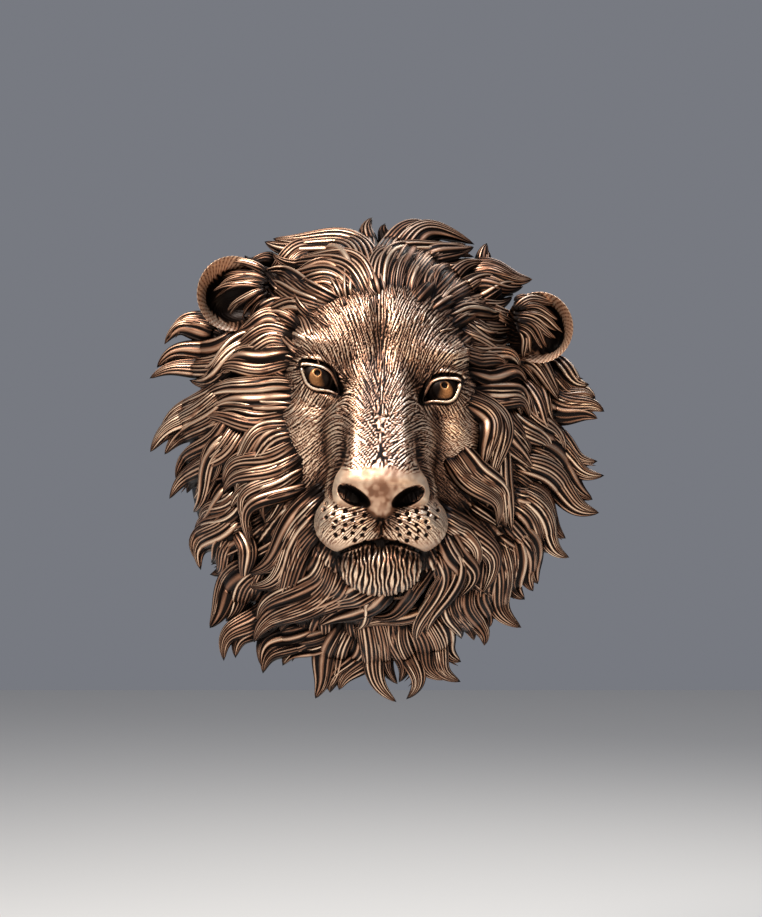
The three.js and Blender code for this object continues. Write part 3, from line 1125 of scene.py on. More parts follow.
        # Painted shade: the bed is kept dark so that it reads as the shadow behind the locks.
        marks[Mark.RIDGE] = 0.26 + 0.26 * strand.reshape(shape)
        carving = Carving()
        carving.add(p.reshape(laid.shape), marks)
        data = carving.bend("mane_bed")
        rim = [edge for edge in carving.mesh.edges if edge.is_boundary]
        bmesh.ops.edgeloop_fill(carving.mesh, edges=rim)
        piece = carving.finish(data)
        max(data.polygons, key=lambda face: face.loop_total).use_smooth = False
        return piece


# Mane


@dataclass(frozen=True)
class Row:
    """A row of locks: how far middle and tip stand over what they lie on, and the least depth under them.

    A lock is root x and z, tip x and z, the bend at its root, the bend at its tip, and its width.
    """

    name: str
    lift: tuple[float, float]
    floor: float
    locks: tuple[tuple[float, ...], ...]


RIM = Row(
    "rim",
    (1.0, 5.0),
    16.0,
    (
        (-17, 157, -110, 206, -0.42, -0.3, 30),
        (-98, 183, -128, 191, -0.2, 0.1, 16),
        (-148, 118, -205, 108, -0.35, -0.35, 22),
        (-126, 115, -218, 77, 0, 0.1, 26),
        (-135, 65, -217, 6, -0.22, 0.1, 38),
        (-131, 34, -199, -38, -0.1, 0.15, 34),
        (-132, 17, -178, -50, -0.25, -0.1, 24),
        (-129, -32, -176, -68, 0, 0.1, 22),
        (-134, -53, -171, -105, -0.1, -0.25, 24),
        (-136, -72, -162, -108, 0.1, 0.1, 22),
        (-109, -104, -159, -160, -0.15, -0.2, 30),
        (-98, -137, -146, -191, -0.15, -0.15, 26),
        (-64, -159, -113, -202, -0.1, -0.3, 28),
        (-47, -163, -94, -194, -0.1, -0.15, 24),
        (-33, -157, -60, -226, 0.05, -0.1, 26),
        (-14, -157, -47, -222, 0.15, 0.2, 28),
        (-11, -145, 16, -228, -0.15, -0.1, 24),
        (17, -145, 22, -226, -0.2, 0.15, 24),
        (36, -148, 75, -210, -0.25, -0.05, 40),
        (63, -124, 77, -169, -0.1, -0.1, 22),
        (83, -115, 97, -176, -0.25, -0.15, 34),
        (105, -77, 132, -159, -0.2, -0.15, 48),
        (124, -68, 145, -125, 0.1, 0.15, 26),
        (127, -35, 177, -93, 0.15, 0.05, 36),
        (127, -2, 207, -50, -0.05, 0.2, 32),
        (146, 24, 210, -16, -0.2, -0.15, 34),
        (151, 66, 210, 44, -0.1, -0.15, 34),
        (158, 87, 196, 68, -0.1, -0.2, 24),
        (-13, 183, -8, 227, 0.2, 0.1, 18),
        (5, 192, 4, 221, 0, 0, 14),
        (14, 156, 88, 201, 0.67, 0.52, 44),
        (81, 159, 101, 203, -0.25, -0.25, 20),
        (101, 160, 115, 181, 0, 0, 16),
    ),
)
MIDDLE = Row(
    "middle",
    (8.0, 8.0),
    24.0,
    (
        (-36, 157, -89, 163, -0.2, -0.2, 22),
        (-55, 185, -108, 170, -0.25, -0.2, 24),
        (-110, 106, -180, 75, -0.1, 0.05, 24),
        (-87, 92, -158, 75, -0.15, -0.1, 22),
        (-88, 110, -142, 104, -0.15, -0.05, 20),
        (-84, 60, -170, 50, -0.12, -0.05, 24),
        (-87, 44, -170, 39, -0.1, 0.05, 20),
        (-85, 26, -142, -12, -0.17, -0.14, 24),
        (-81, 10, -147, -31, -0.1, -0.08, 26),
        (-76, -5, -139, -45, -0.12, -0.05, 24),
        (-133, -67, -127, -115, 0.25, 0.3, 18),
        (41, 155, 87, 196, 0.3, 0.3, 26),
        (72, 160, 141, 166, -0.12, 0.25, 26),
        (69, 144, 131, 159, -0.2, 0.05, 24),
        (111, 95, 168, 54, 0.22, 0.35, 20),
        (92, 58, 139, 34, 0.25, 0.35, 20),
        (132, 72, 170, 20, -0.1, -0.1, 24),
        (120, 46, 169, 1, -0.1, 0.1, 28),
        (103, 52, 141, -8, 0.05, -0.2, 24),
    ),
)
FRONT = Row(
    "front",
    (10.0, 12.0),
    34.0,
    (
        (-88, 122, -132, 118, -0.25, -0.25, 18),
        (-86, 134, -121, 138, -0.15, -0.15, 16),
        (-73, -22, -120, -81, -0.13, -0.6, 22),
        (-57, -41, -126, -117, 0, 0.15, 28),
        (-55, -59, -113, -142, -0.08, 0.1, 28),
        (-38, -86, -118, -171, 0.3, 0.05, 42),
        (66, 129, 117, 139, -0.1, 0.1, 20),
        (75, 125, 121, 115, -0.3, -0.3, 20),
        (75, 113, 124, 103, -0.25, -0.3, 18),
        (78, 99, 129, 82, -0.1, 0.1, 20),
        (83, 79, 136, 69, 0, 0.1, 18),
        (82, 49, 98, -20, 0.25, 0.45, 24),
        (108, 17, 119, -68, 0.3, -0.2, 22),
        (68, 3, 107, -63, 0.1, 0.15, 26),
        (55, -54, 91, -126, 0.25, 0.4, 26),
        (55, -68, 69, -128, 0.2, 0.25, 22),
        (46, -79, 36, -174, 0.35, 0.15, 26),
        (2, -106, -58, -152, 0.05, 0.12, 30),
        (-2, -112, -24, -158, 0.1, -0.1, 20),
        (44, -95, -20, -142, 0.25, 0.3, 18),
        (56, -121, -26, -157, 0.05, 0.1, 18),
    ),
)


CROWN = Row(
    "crown",
    (4.0, 5.0),
    30.0,
    (
        (-82, 156, -116, 162, -0.1, 0.1, 20),
        (-84, 150, -118, 177, -0.1, 0.1, 22),
        (-90, 138, -128, 154, -0.12, 0.1, 17),
        (-80, 126, -128, 132, -0.1, 0.0, 15),
        (-66, 133, -124, 146, -0.12, 0.1, 16),
        (-54, 139, -122, 156, -0.15, -0.1, 17),
        (-41, 144, -117, 168, -0.2, -0.1, 18),
        (-27, 146, -107, 180, -0.25, -0.1, 20),
        (-13, 146, -102, 193, -0.32, -0.22, 22),
        (50, 146, 98, 182, 0.2, 0.15, 20),
        (86, 124, 130, 122, 0.12, -0.15, 18),
        (82, 130, 134, 131, 0.05, -0.05, 18),
        (84, 136, 130, 140, 0.12, -0.1, 18),
        (68, 132, 123, 152, 0.12, 0.1, 16),
        (55, 140, 114, 168, 0.22, 0.12, 18),
        (43, 145, 84, 178, 0.35, 0.3, 17),
        (27, 148, 87, 188, 0.4, 0.35, 19),
        (14, 149, 85, 196, 0.46, 0.4, 20),
        (3, 146, 80, 202, 0.52, 0.46, 22),
    ),
)


@dataclass(frozen=True)
class Wisp:
    """One tapering bundle of strands: its line, its width and how far it stands over the row's level."""

    line: tuple[float, ...]
    width: float
    over: float
    sway: float = 0.0
    depths: tuple[float, float] | None = None


@dataclass
class Mane:
    """Locks that curl out over the dome, each split into wisps and grooved into strands."""

    head: Head
    ears: tuple[Ear, ...]
    rows: tuple[Row, ...] = (RIM, MIDDLE, FRONT, CROWN)
    full: float = 1.15
    under_locks: int = 38
    foremost: tuple[float, float] = (122.0, 140.0)
    foremost_span: tuple[float, float] = (20.0, 110.0)
    column: float = 0.82
    column_counts: tuple[int, int] = (13, 44)
    back_steps: int = 4
    step: float = 3.4
    step_counts: tuple[int, int] = (14, 38)
    leaf_start: float = 0.07
    root_run: float = 0.22
    most_root_run: float = 20.0
    sways: tuple[float, float] = (0.045, 0.1)
    leaf_speed: float = 0.88
    leaf_power: float = 0.72
    plump_share: float = 0.42
    most_plump: float = 9.5
    outward_tilt: float = 0.35
    strand_width: float = 3.0
    coarseness: Triple = (1.0, 1.15, 1.75)
    groove: float = 0.55
    # shade_side and shade_loss paint shade on the side of each lock that faces down and right, away from
    # the key light.
    shade_side: Triple = (0.6, 0.0, -0.8)
    tautness: float = 0.45
    least_depth: float = 0.6
    shortest_split: float = 30.0
    loose_widths: tuple[float, float] = (5.0, 8.0)
    loose_heights: tuple[float, float] = (3.5, 5.5)
    side_tone: float = 0.52
    crown_tone: float = 0.5
    broad_loss: float = 0.22
    # low_shade_loss paints shade on the bottom of the mane.
    low_shade_loss: float = 0.12
    top_loss: float = 0.14
    shade_loss: float = 0.6
    # root_shade_tone paints shade at the roots of the wisps.
    root_shade_tone: float = 0.25
    tip_loss: float = 0.35
    root_middle: float = 22.0
    root_radii: tuple[float, float] = (92.0, 118.0)
    root_rings: tuple[tuple[float, int, float], ...] = ((0.96, 66, 46.0), (1.18, 60, 60.0))
    under_middle: tuple[float, float] = (-7.0, 2.0)
    under_root: tuple[float, float] = (124.0, 134.0)
    under_tip: tuple[float, float] = (172.0, 186.0)
    under_widths: tuple[float, float] = (17.0, 23.0)
    ground: Raster = field(init=False)
    rng: np.random.Generator = field(default_factory=lambda: np.random.default_rng(SEED + 1))

    def __post_init__(self) -> None:
        """Sounds how deep the head stands everywhere behind the locks."""
        self.ground = Raster.blank(-240.0, -250.0, 240.0, 250.0, 2.5)
        x, z = self.ground.places()
        z = z + x * self.head.lean * smoothstep(*self.head.lean_span, z)
        start = np.column_stack([x.ravel(), np.zeros(x.size), z.ravel()])
        direction = np.tile([0.0, 1.0, 0.0], (x.size, 1))
        depth = self.head.trace(start, direction, 1.1 * PARTS_DEEP).reshape(x.shape)
        top = smoothstep(*self.foremost_span, z)
        self.ground.values = np.minimum(soften(depth, 2.0), part_way(self.foremost, top))

    def leaf(self, t: Array) -> Array:
        """A lock's width along its length, as a share of its widest."""
        wave = np.sin(np.pi * (self.leaf_start + (1.0 - self.leaf_start) * t**self.leaf_speed))
        return np.maximum(wave, 0.0) ** self.leaf_power

    def spine(self, line: tuple[float, ...], t: Array, sway: float = 0.0) -> Array:
        """The line that a lock follows, as seen from the front.

        Args:
            line: Its root, tip and bends.
            t: Shares of its length.
            sway: How far it waves to its left and back, as a share of its length.

        Returns:
            The x and z at each share.
        """
        root, tip = np.array(line[0:2], float), np.array(line[2:4], float)
        run = tip - root
        left = np.array([-run[1], run[0]])
        ahead = root + run / 3.0 + left * line[4]
        behind = root + run * 2.0 / 3.0 + left * line[5]
        s = (1.0 - t)[:, None]
        t = t[:, None]
        wave = left * sway * np.sin(2.0 * np.pi * t**1.25) * t**0.5
        return s**3 * root + 3 * s * s * t * ahead + 3 * s * t * t * behind + t**3 * tip + wave

    def split(self, lock: tuple[float, ...]) -> list[Wisp]:
        """Splits a lock into wisps that part towards their tips.

        Args:
            lock: Its root, tip, bends and width.

        Returns:
            The wisps, the outer ones first.
        """
        rng = self.rng
        width = lock[6] * self.full
        count = 1 if width < 23.0 else 2 if width < 38.0 else 3
        line = np.array(lock[:6], float)
        run = line[2:4] - line[0:2]
        length = float(np.hypot(*run))
        ends = self.spine(lock, np.array([0.0, 0.06, 0.94, 1.0]))
        sides = []
        for pair in ((0, 1), (2, 3)):
            ahead = unit(ends[pair[1]] - ends[pair[0]])
            sides.append(np.array([-ahead[1], ahead[0]]))
        ahead = unit(ends[1] - ends[0])
        line[0:2] -= ahead * min(self.root_run * length, self.most_root_run)
        sway = rng.choice([-1.0, 1.0]) * rng.uniform(*self.sways)
        wisps = []
        lead = count // 2 if count == 3 else int(rng.integers(count))
        for k in sorted(range(count), key=lambda k: -abs(2 * k + 1 - count)):
            aside = (2 * k + 1 - count) / count
            made = line.copy()
            made[0:2] += sides[0] * aside * 0.30 * width
            short = abs(aside) * 0.16 + rng.uniform(0.0, 0.12) * (abs(aside) > 0.4)
            if k == lead:
                made[2:4] += sides[1] * aside * 0.12 * width
            else:
                made[2:4] += sides[1] * aside * 0.34 * width - run * short
            made[4:6] += aside * np.array([0.02, 0.06]) + rng.uniform(-0.05, 0.05, 2)
            wide = width * (1.0 if count == 1 else 1.5 / count + 0.12)
            over = 2.6 * (1.0 - abs(aside)) + rng.uniform(-0.8, 0.8)
            wisps.append(Wisp(tuple(made), wide, over, sway + rng.uniform(-0.01, 0.01)))
        if length < self.shortest_split:
            return wisps[-1:]
        for _ in range(count):
            made = line.copy()
            aside = rng.uniform(-0.4, 0.4)
            made[0:2] += sides[0] * aside * width + run * rng.uniform(0.0, 0.15)
            made[2:4] += sides[1] * aside * 0.4 * width - run * rng.uniform(0.12, 0.42)
            made[4:6] += aside * np.array([0.02, 0.06]) + rng.uniform(-0.04, 0.04, 2)
            wide, over = rng.uniform(*self.loose_widths), rng.uniform(*self.loose_heights)
            wisps.append(Wisp(tuple(made), wide, over, sway + rng.uniform(-0.02, 0.02)))
        return wisps

    def add_wisp(self, carving: Carving, row: Row, wisp: Wisp) -> None:
        """Carves one wisp.

        Args:
            carving: The mesh that it is added to.
            row: The row that it lies in.
            wisp: Its line and size.
        """
        rng = self.rng
        line, width = wisp.line, wisp.width
        bent = 1.0 + 0.5 * (abs(line[4]) + abs(line[5]))
        reach = math.hypot(line[2] - line[0], line[3] - line[1]) * bent
        count = int(np.clip(round(reach / self.step), *self.step_counts))
        front_steps = int(np.clip(round(width / self.column), *self.column_counts))
        t = np.linspace(0.0, 1.0, count + 1)
        flat = self.spine(line, t, wisp.sway)
        lift = np.interp(t, [0.0, 0.14, 0.34, 0.6, 1.0], [-8.0, -5.0, -0.5, row.lift[0], row.lift[1]])
        if wisp.depths:
            under, lift = part_way(wisp.depths, t), np.zeros_like(t)
        else:
            under = np.maximum(self.ground.read(flat[:, 0], flat[:, 1]), row.floor)
            under = under + self.tautness * (taut(under) - under)
        lift = lift + wisp.over * smoothstep(0.0, 0.35, t)
        centre = np.column_stack([flat[:, 0], under + lift, flat[:, 1]])
        ahead = unit(np.gradient(centre, axis=0))
        out = unit(centre * [1.0, 0.0, 1.0]) * self.outward_tilt
        face = unit(out + [0.0, 1.0, 0.0])
        across = unit(np.cross(ahead, face))
        roll = rng.uniform(-0.35, 0.35) * smoothstep(0.1, 0.6, t)[:, None]
        across = unit(across + roll * face)
        face = unit(np.cross(across, ahead))

        leaf = self.leaf(t)
        thick = leaf * smoothstep(-0.08, 0.32, t) * min(width * self.plump_share, self.most_plump)
        side_angle = np.linspace(-0.5 * np.pi, 0.5 * np.pi, front_steps) * 0.9
        v_front = np.sin(side_angle) / math.sin(0.45 * np.pi)
        v_back = np.linspace(1.0, -1.0, self.back_steps + 2)[1:-1]
        v = np.concatenate([v_front, v_back, v_front[:1]])
        front_side = np.concatenate([np.ones(front_steps), np.zeros(self.back_steps), np.ones(1)])

        strands = max(3, int(round(width / self.strand_width / rng.choice(self.coarseness))))
        tt, vv = np.meshgrid(t, v, indexing="ij")
        shares = rng.uniform(0.5, 1.6, strands)
        shares[rng.integers(strands)] *= rng.uniform(1.0, 1.6) * (2.0 if width > 19.0 else 1.0)
        borders = np.concatenate([[0.0], np.cumsum(shares) / shares.sum()]) * 2.0 - 1.0
        drift = rng.uniform(-0.16, 0.16) * (tt - 0.5) * 2.0
        drift = drift + 0.06 * np.sin(2 * np.pi * (tt * rng.uniform(0.7, 1.3) + rng.random()))
        at = np.clip(vv + drift * (1.0 - vv * vv), -0.9999, 0.9999)
        which = np.searchsorted(borders, at, side="right") - 1
        within = (at - borders[which]) / (borders[which + 1] - borders[which])
        wave = np.sin(np.pi * within) ** 1.1
        tall = rng.uniform(0.45, 1.35, strands)[which]
        broad = (borders[1:] - borders[:-1])[which] / 2.0
        skew = rng.choice([-1.0, 1.0]) * rng.uniform(0.2, 0.6)
        bulge = np.clip(1.0 - np.abs(vv) ** 2.4, 0.0, 1.0) ** 0.75 * (1.0 + skew * vv)
        groove = self.groove * np.clip((leaf * width)[:, None] * broad, 0.4, 5.5)
        front = thick[:, None] * bulge + groove * (wave * tall - 0.75) * (1.0 - np.abs(vv) ** 8)
        back = -0.9 * thick[:, None] * np.sqrt(np.clip(1.0 - vv * vv, 0.0, 1.0))
        height = np.where(front_side > 0.5, front, back)
        height[0] = height[-1] = 0.0
        side = vv * (leaf * width / 2.0)[:, None]
        side[0] = side[-1] = 0.0
        places = centre[:, None] + across[:, None] * side[..., None] + face[:, None] * height[..., None]
        places[..., 1] = np.maximum(places[..., 1], self.least_depth)
        worn = rng.uniform(0.78, 1.1, strands)[which]
        crown = self.crown_tone * smoothstep(0.76, 1.0, wave) * np.clip(tall, 0.4, 1.2)
        rubbed = (self.side_tone * smoothstep(0.22, 0.72, wave) + crown) * worn
        rubbed = rubbed * (1.0 - self.broad_loss * smoothstep(0.25, 0.6, broad))
        # Painted shade: the locks grow darker towards the bottom of the mane, which lies in shade.
        rubbed = rubbed * (1.0 - self.low_shade_loss * smoothstep(-40.0, -130.0, places[..., 2]))
        rubbed = rubbed * (1.0 - self.top_loss * smoothstep(120.0, 170.0, places[..., 2]))
        # Painted shade: each lock's strands lose their rubbed tone on the side that faces down and right,
        # away from the key light.
        shaded_side = vv * (across @ np.array(self.shade_side))[:, None]
        rubbed = rubbed * (1.0 - self.shade_loss * smoothstep(0.2, 0.95, shaded_side))
        # Painted shade: each wisp darkens towards its root, where it runs in under the locks around it.
        rubbed = rubbed * part_way((self.root_shade_tone, 1.0), smoothstep(0.0, 0.3, tt))
        rubbed = rubbed * (1.0 - self.tip_loss * smoothstep(0.88, 1.0, tt))
        marks = {
            Mark.RIDGE: np.where(front_side > 0.5, rubbed, 0.0),
            Mark.GOLD: np.full(tt.shape, rng.uniform(0.05, 0.6)),
            Mark.SMOOTH: np.full(tt.shape, 0.25),
            Mark.ACROSS: side + 100.0 * rng.random(),
            Mark.ALONG: tt * reach,
        }
        carving.add(places, marks)

    def roots(self) -> list[Wisp]:
        """Short wisps that carry the fur of the face out under the locks.

        Returns:
            The wisps, ring by ring.
        """
        rng = self.rng
        wisps = []
        for ring, (size, count, length) in enumerate(self.root_rings):
            for k in range(count):
                turn = 2.0 * np.pi * (k + 0.5 * ring + rng.uniform(-0.25, 0.25)) / count
                loose = rng.uniform(-0.12, 0.1) * (math.sin(turn) > 0.7)
                x = self.root_radii[0] * (size + loose) * math.cos(turn)
                z = self.root_middle + self.root_radii[1] * (size + loose) * math.sin(turn)
                up = z - self.root_middle + 0.35 * (z - 60.0)
                way = math.atan2(up, 1.5 * x) + rng.uniform(-0.22, 0.22)
                if z < -70.0 and abs(x) < 45.0:
                    continue
                short = 1.0 - 0.45 * (z > 106.0)
                long = length * rng.uniform(0.75, 1.2) * short
                tip = (x + long * math.cos(way), z + long * math.sin(way) - 8.0)
                bend = rng.choice([-1.0, 1.0]) * rng.uniform(0.08, 0.25)
                width = rng.uniform(8.0, 12.0) * short
                wisps.append(Wisp((x, z, *tip, bend, -bend * 0.8), width, rng.uniform(-1.5, 1.5)))
        return wisps

    def fill(self) -> list[Wisp]:
        """Plain locks that close the dome under the rows.

        Returns:
            The locks, once round the head.
        """
        rng = self.rng
        wisps = []
        for k in range(self.under_locks):
            turn = 2.0 * np.pi * (k + rng.uniform(-0.3, 0.3)) / self.under_locks
            fan = turn + rng.uniform(-0.1, 0.1) - 0.12 * math.cos(turn)
            ends = []
            for angle, radii in ((turn, self.under_root), (fan, self.under_tip)):
                ends.append(self.under_middle[0] + radii[0] * math.cos(angle))
                ends.append(self.under_middle[1] + radii[1] * math.sin(angle))
            bend = rng.choice([-1.0, 1.0]) * rng.uniform(0.1, 0.25)
            wisps.append(Wisp((*ends, bend, -bend), rng.uniform(*self.under_widths), -1.0))
        return wisps

    def ear_tufts(self) -> list[Wisp]:
        """Hair that fans across the ears from the head.

        Returns:
            The wisps of both ears.
        """
        rng = self.rng
        wisps = []
        for ear in self.ears:
            x, depth, z = ear.tuft_root
            side = math.copysign(1.0, ear.centre[0])
            for k, tip in enumerate(2 * ear.tuft_tips):
                below = z - 3.5 * (k % len(ear.tuft_tips))
                start = (x + rng.uniform(-4.0, 4.0), below + rng.uniform(-3.0, 3.0))
                tip = tuple(place + rng.uniform(-5.0, 5.0) for place in tip)
                bend = side * rng.uniform(0.12, 0.34)
                line = (*start, *tip, bend, bend * 0.6)
                fall = rng.uniform(2.0, 12.0)
                depths = (depth - fall / 2, ear.centre[1] - fall)
                wisps.append(Wisp(line, rng.uniform(5.5, 9.0), 0.0, 0.03, depths))
        return wisps

    def build(self) -> list[bpy.types.Object]:
        """Carves every row of locks.

        Returns:
            The rows' objects.
        """
        under = Row("roots", (0.5, 3.0), 20.0, ())
        pieces = []
        for row in (under, *self.rows):
            carving = Carving()
            wisps = self.roots() + self.fill() + self.ear_tufts() if row is under else []
            wisps += [w for lock in row.locks for w in self.split(lock)]
            for wisp in wisps:
                self.add_wisp(carving, row, wisp)
            LOG.info("row %s: %d wisps", row.name, len(wisps))
            pieces.append(carving.finish(carving.bend(f"mane_{row.name}")))
        return pieces


# Ears


@dataclass(frozen=True)
class Ear:
    """A cupped ear: the place of its middle, its radii, where it looks and where its hollow is deepest."""

    name: str
    centre: Triple
    radii: Triple
    looks: Triple
    deepest: tuple[float, float]
    thick_side: float
    tuft_root: Triple
    tuft_tips: tuple[tuple[float, float], ...]
    wall: float = 8.5
    least_depth: float = 0.6
    columns: int = 121
    rows: int = 71
    tufts: int = 26
    hatch: int = 46

    def build(self) -> bpy.types.Object:
        """Carves the ear as a cup folded from one grid.

        Returns:
            The ear's object.
        """
        around = np.linspace(0.0, 2.0 * np.pi, self.columns)
        fold = np.linspace(-0.5 * np.pi, 0.5 * np.pi, self.rows)
        b, a = np.meshgrid(fold, around, indexing="ij")
        inner = b > 0.0
        across, deep, up = self.radii
        rim = np.sin(np.minimum(np.abs(b) * 2.2, 0.5 * np.pi))
        wall = self.wall * (0.7 + 0.3 * np.cos(a - math.radians(self.thick_side)))
        shrink = np.where(inner, 1.0 - wall / across * rim, 1.0)
        flat = np.cos(b) * shrink
        sink = np.where(inner, -np.sin(b) ** 1.3 * (1.0 - 5.0 / deep), np.sin(b))
        warp = 1.7 * np.sin(2.0 * a + 1.0 + b) + 1.1 * np.sin(5.0 * a - 2.0 * b) + 7.0 * b
        hair = np.abs(np.sin(0.5 * a * self.tufts + warp)) ** 0.8 * (0.6 + 0.4 * np.sin(3.0 * a + 2.0 * b))
        hatch = np.abs(np.sin(0.5 * a * self.hatch - 9.0 * b + 0.8 * np.sin(3.0 * a))) ** 0.8
        on_rim = smoothstep(0.75, 0.35, np.abs(b))
        cover = np.cos(b) ** 0.5
        groove = (hatch * on_rim * 0.6 + hair * (1.0 - on_rim) * np.where(inner, 2.0, 1.0) - 0.6) * cover
        rise = np.where(inner, -groove, groove)
        push = smoothstep(0.2, 1.3, b)
        x = np.cos(a) * (flat * across + rise) + push * self.deepest[0]
        z = np.sin(a) * (flat * up + rise) + push * self.deepest[1]
        y = sink * deep + groove * on_rim
        looks = unit(np.array(self.looks))
        side = unit(np.cross(looks, [0.0, 0.0, 1.0]))
        top = np.cross(side, looks)
        places = np.array(self.centre) + x[..., None] * side + y[..., None] * looks + z[..., None] * top
        places[..., 1] = np.maximum(places[..., 1], self.least_depth)
        ridge = np.where(on_rim > 0.5, 0.3 + 0.6 * hatch, hair)
        marks = {
            Mark.RIDGE: ridge * np.where(inner, smoothstep(1.15, 0.45, b), 1.0),
            Mark.GOLD: np.full(a.shape, 0.15),
            Mark.SMOOTH: np.zeros(a.shape),
            Mark.ACROSS: a * across,
            Mark.ALONG: b * deep,
        }
        carving = Carving()
        carving.add(places, marks)
        return carving.finish(carving.bend(self.name))


LEFT_EAR = Ear(
    "left_ear",
    (-137, 64, 152),
    (33, 26, 35),
    (0.2, 1, -0.2),
    (-6, -8),
    135.0,
    (-104, 78, 168),
    ((-140, 178), (-151, 170), (-155, 158), (-150, 146), (-142, 136), (-131, 129), (-118, 124)),
)
RIGHT_EAR = Ear(
    "right_ear",
    (146, 60, 121),
    (32, 26, 33),
    (-0.3, 1, -0.1),
    (8, -4),
    45.0,
    (124, 76, 142),
    ((150, 146), (161, 140), (168, 129), (167, 117), (160, 106), (149, 100), (134, 96)),
)


# Eyes


@dataclass
class Eyes:
    """Drilled eyeballs behind the carved lids."""

    head: Head
    iris: float = 10.2
    iris_place: tuple[float, float] = (0.0, -1.0)
    pupil: float = 2.4
    pupil_place: tuple[float, float] = (1.8, 3.8)
    rows: int = 46
    columns: int = 61

    def add_ball(self, carving: Carving, side: float) -> None:
        """Carves one eyeball with its iris and pupil.

        Args:
            carving: The mesh that it is added to.
            side: 1 for the right eye as seen, and -1 for the left.
        """
        eye = self.head.eye
        fold = np.pi * np.linspace(0.0, 1.0, self.rows) ** 1.8
        around = np.linspace(0.0, 2.0 * np.pi, self.columns)
        b, a = np.meshgrid(fold, around, indexing="ij")
        x, z = eye.radius * np.sin(b) * np.cos(a), eye.radius * np.sin(b) * np.sin(a)
        front = smoothstep(0.0, 2.0, eye.radius * np.cos(b))
        off = np.hypot(x - self.iris_place[0], z - self.iris_place[1])
        hole = np.hypot(x - self.pupil_place[0], z - self.pupil_place[1])
        pupil = smoothstep(self.pupil + 0.5, self.pupil - 0.6, hole) * front
        ring = bell(off - self.iris, 0.7) * front
        glow = bell(hole - self.pupil - 1.1, 0.7) * front
        r = eye.radius - 2.2 * pupil - 0.6 * ring + 0.35 * glow
        centre = np.array(eye.centre) * [side, 1.0, 1.0]
        aside, up = r * np.sin(b) * np.cos(a) * side, r * np.sin(b) * np.sin(a)
        ball = np.stack([aside, r * np.cos(b), up], axis=-1)
        places = self.head.leaned((ball + centre).reshape(-1, 3)).reshape(ball.shape)
        # Painted shade: the ball darkens towards the edge of the lids, as if under them, and the iris is
        # darker on its upper inner side, where the brow's shadow falls, and lighter lower down and
        # outwards.
        edge = smoothstep(0.2, 2.6, eye.inside(x.ravel(), z.ravel())).reshape(x.shape)
        low = smoothstep(-6.0, 3.5, x - 0.35 * z)
        within = smoothstep(self.iris + 0.6, self.iris - 1.6, off)
        tone = (0.05 + (0.2 + 0.46 * low + 0.24 * glow) * within) * edge * (1.0 - pupil)
        marks = {
            Mark.RIDGE: tone,
            Mark.GOLD: 0.5 * smoothstep(self.iris, 0.4 * self.iris, off) * edge * (1.0 - pupil),
            Mark.SMOOTH: np.zeros(a.shape),
            Mark.ACROSS: 0.6 * x,
            Mark.ALONG: 12.0 * z,
        }
        carving.add(places, marks)

    def build(self) -> bpy.types.Object:
        """Carves both eyeballs.

        Returns:
            Their object.
        """
        carving = Carving()
        for side in (-1.0, 1.0):
            self.add_ball(carving, side)
        return carving.finish(carving.bend("eyeballs"))


# Wear


@dataclass
class Wear:
    """Finds what lies open to hands and cloths, and what lies sunk, from the front relief."""

    cell: float = 0.0012
    margin: float = 0.02
    near: float = 2.2
    far: float = 8.0
    near_relief: float = 0.002
    far_relief: float = 0.008
    near_share: float = 0.3
    far_share: float = 0.45

    def mark(self, pieces: list[bpy.types.Object]) -> None:
        """Writes how open each vertex lies to an attribute of its piece.

        Args:
            pieces: All pieces of the casting.
        """
        low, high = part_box(CASTING)
        all_places = []
        for piece in pieces:
            flat = np.empty(len(piece.data.vertices) * 3)
            piece.data.vertices.foreach_get("co", flat)
            all_places.append(flat.reshape(-1, 3))
        edge = self.margin
        relief = Raster.blank(low[0] - edge, low[2] - edge, high[0] + edge, high[2] + edge, self.cell)
        rows, columns = relief.values.shape
        for p in all_places:
            i = np.clip(np.round((p[:, 0] - relief.left) / self.cell).astype(int), 0, columns - 1)
            j = np.clip(np.round((p[:, 2] - relief.bottom) / self.cell).astype(int), 0, rows - 1)
            np.maximum.at(relief.values, (j, i), -p[:, 1])
        for _ in range(2):
            empty = relief.values <= 0.0
            spread = relief.values.copy()
            for axis in (0, 1):
                for way in (-1, 1):
                    spread = np.maximum(spread, np.roll(relief.values, way, axis))
            relief.values[empty] = spread[empty]
        near = Raster(relief.left, relief.bottom, self.cell, soften(relief.values, self.near))
        far = Raster(relief.left, relief.bottom, self.cell, soften(relief.values, self.far))
        for piece, p in zip(pieces, all_places):
            depth = -p[:, 1]
            close = (depth - near.read(p[:, 0], p[:, 2])) / self.near_relief
            wide = (depth - far.read(p[:, 0], p[:, 2])) / self.far_relief
            open_ = np.clip(0.5 + self.near_share * close + self.far_share * wide, 0.0, 1.0)
            layer = piece.data.attributes.new("open", "FLOAT", "POINT")
            layer.data.foreach_set("value", open_.astype(np.float32))


# Finish


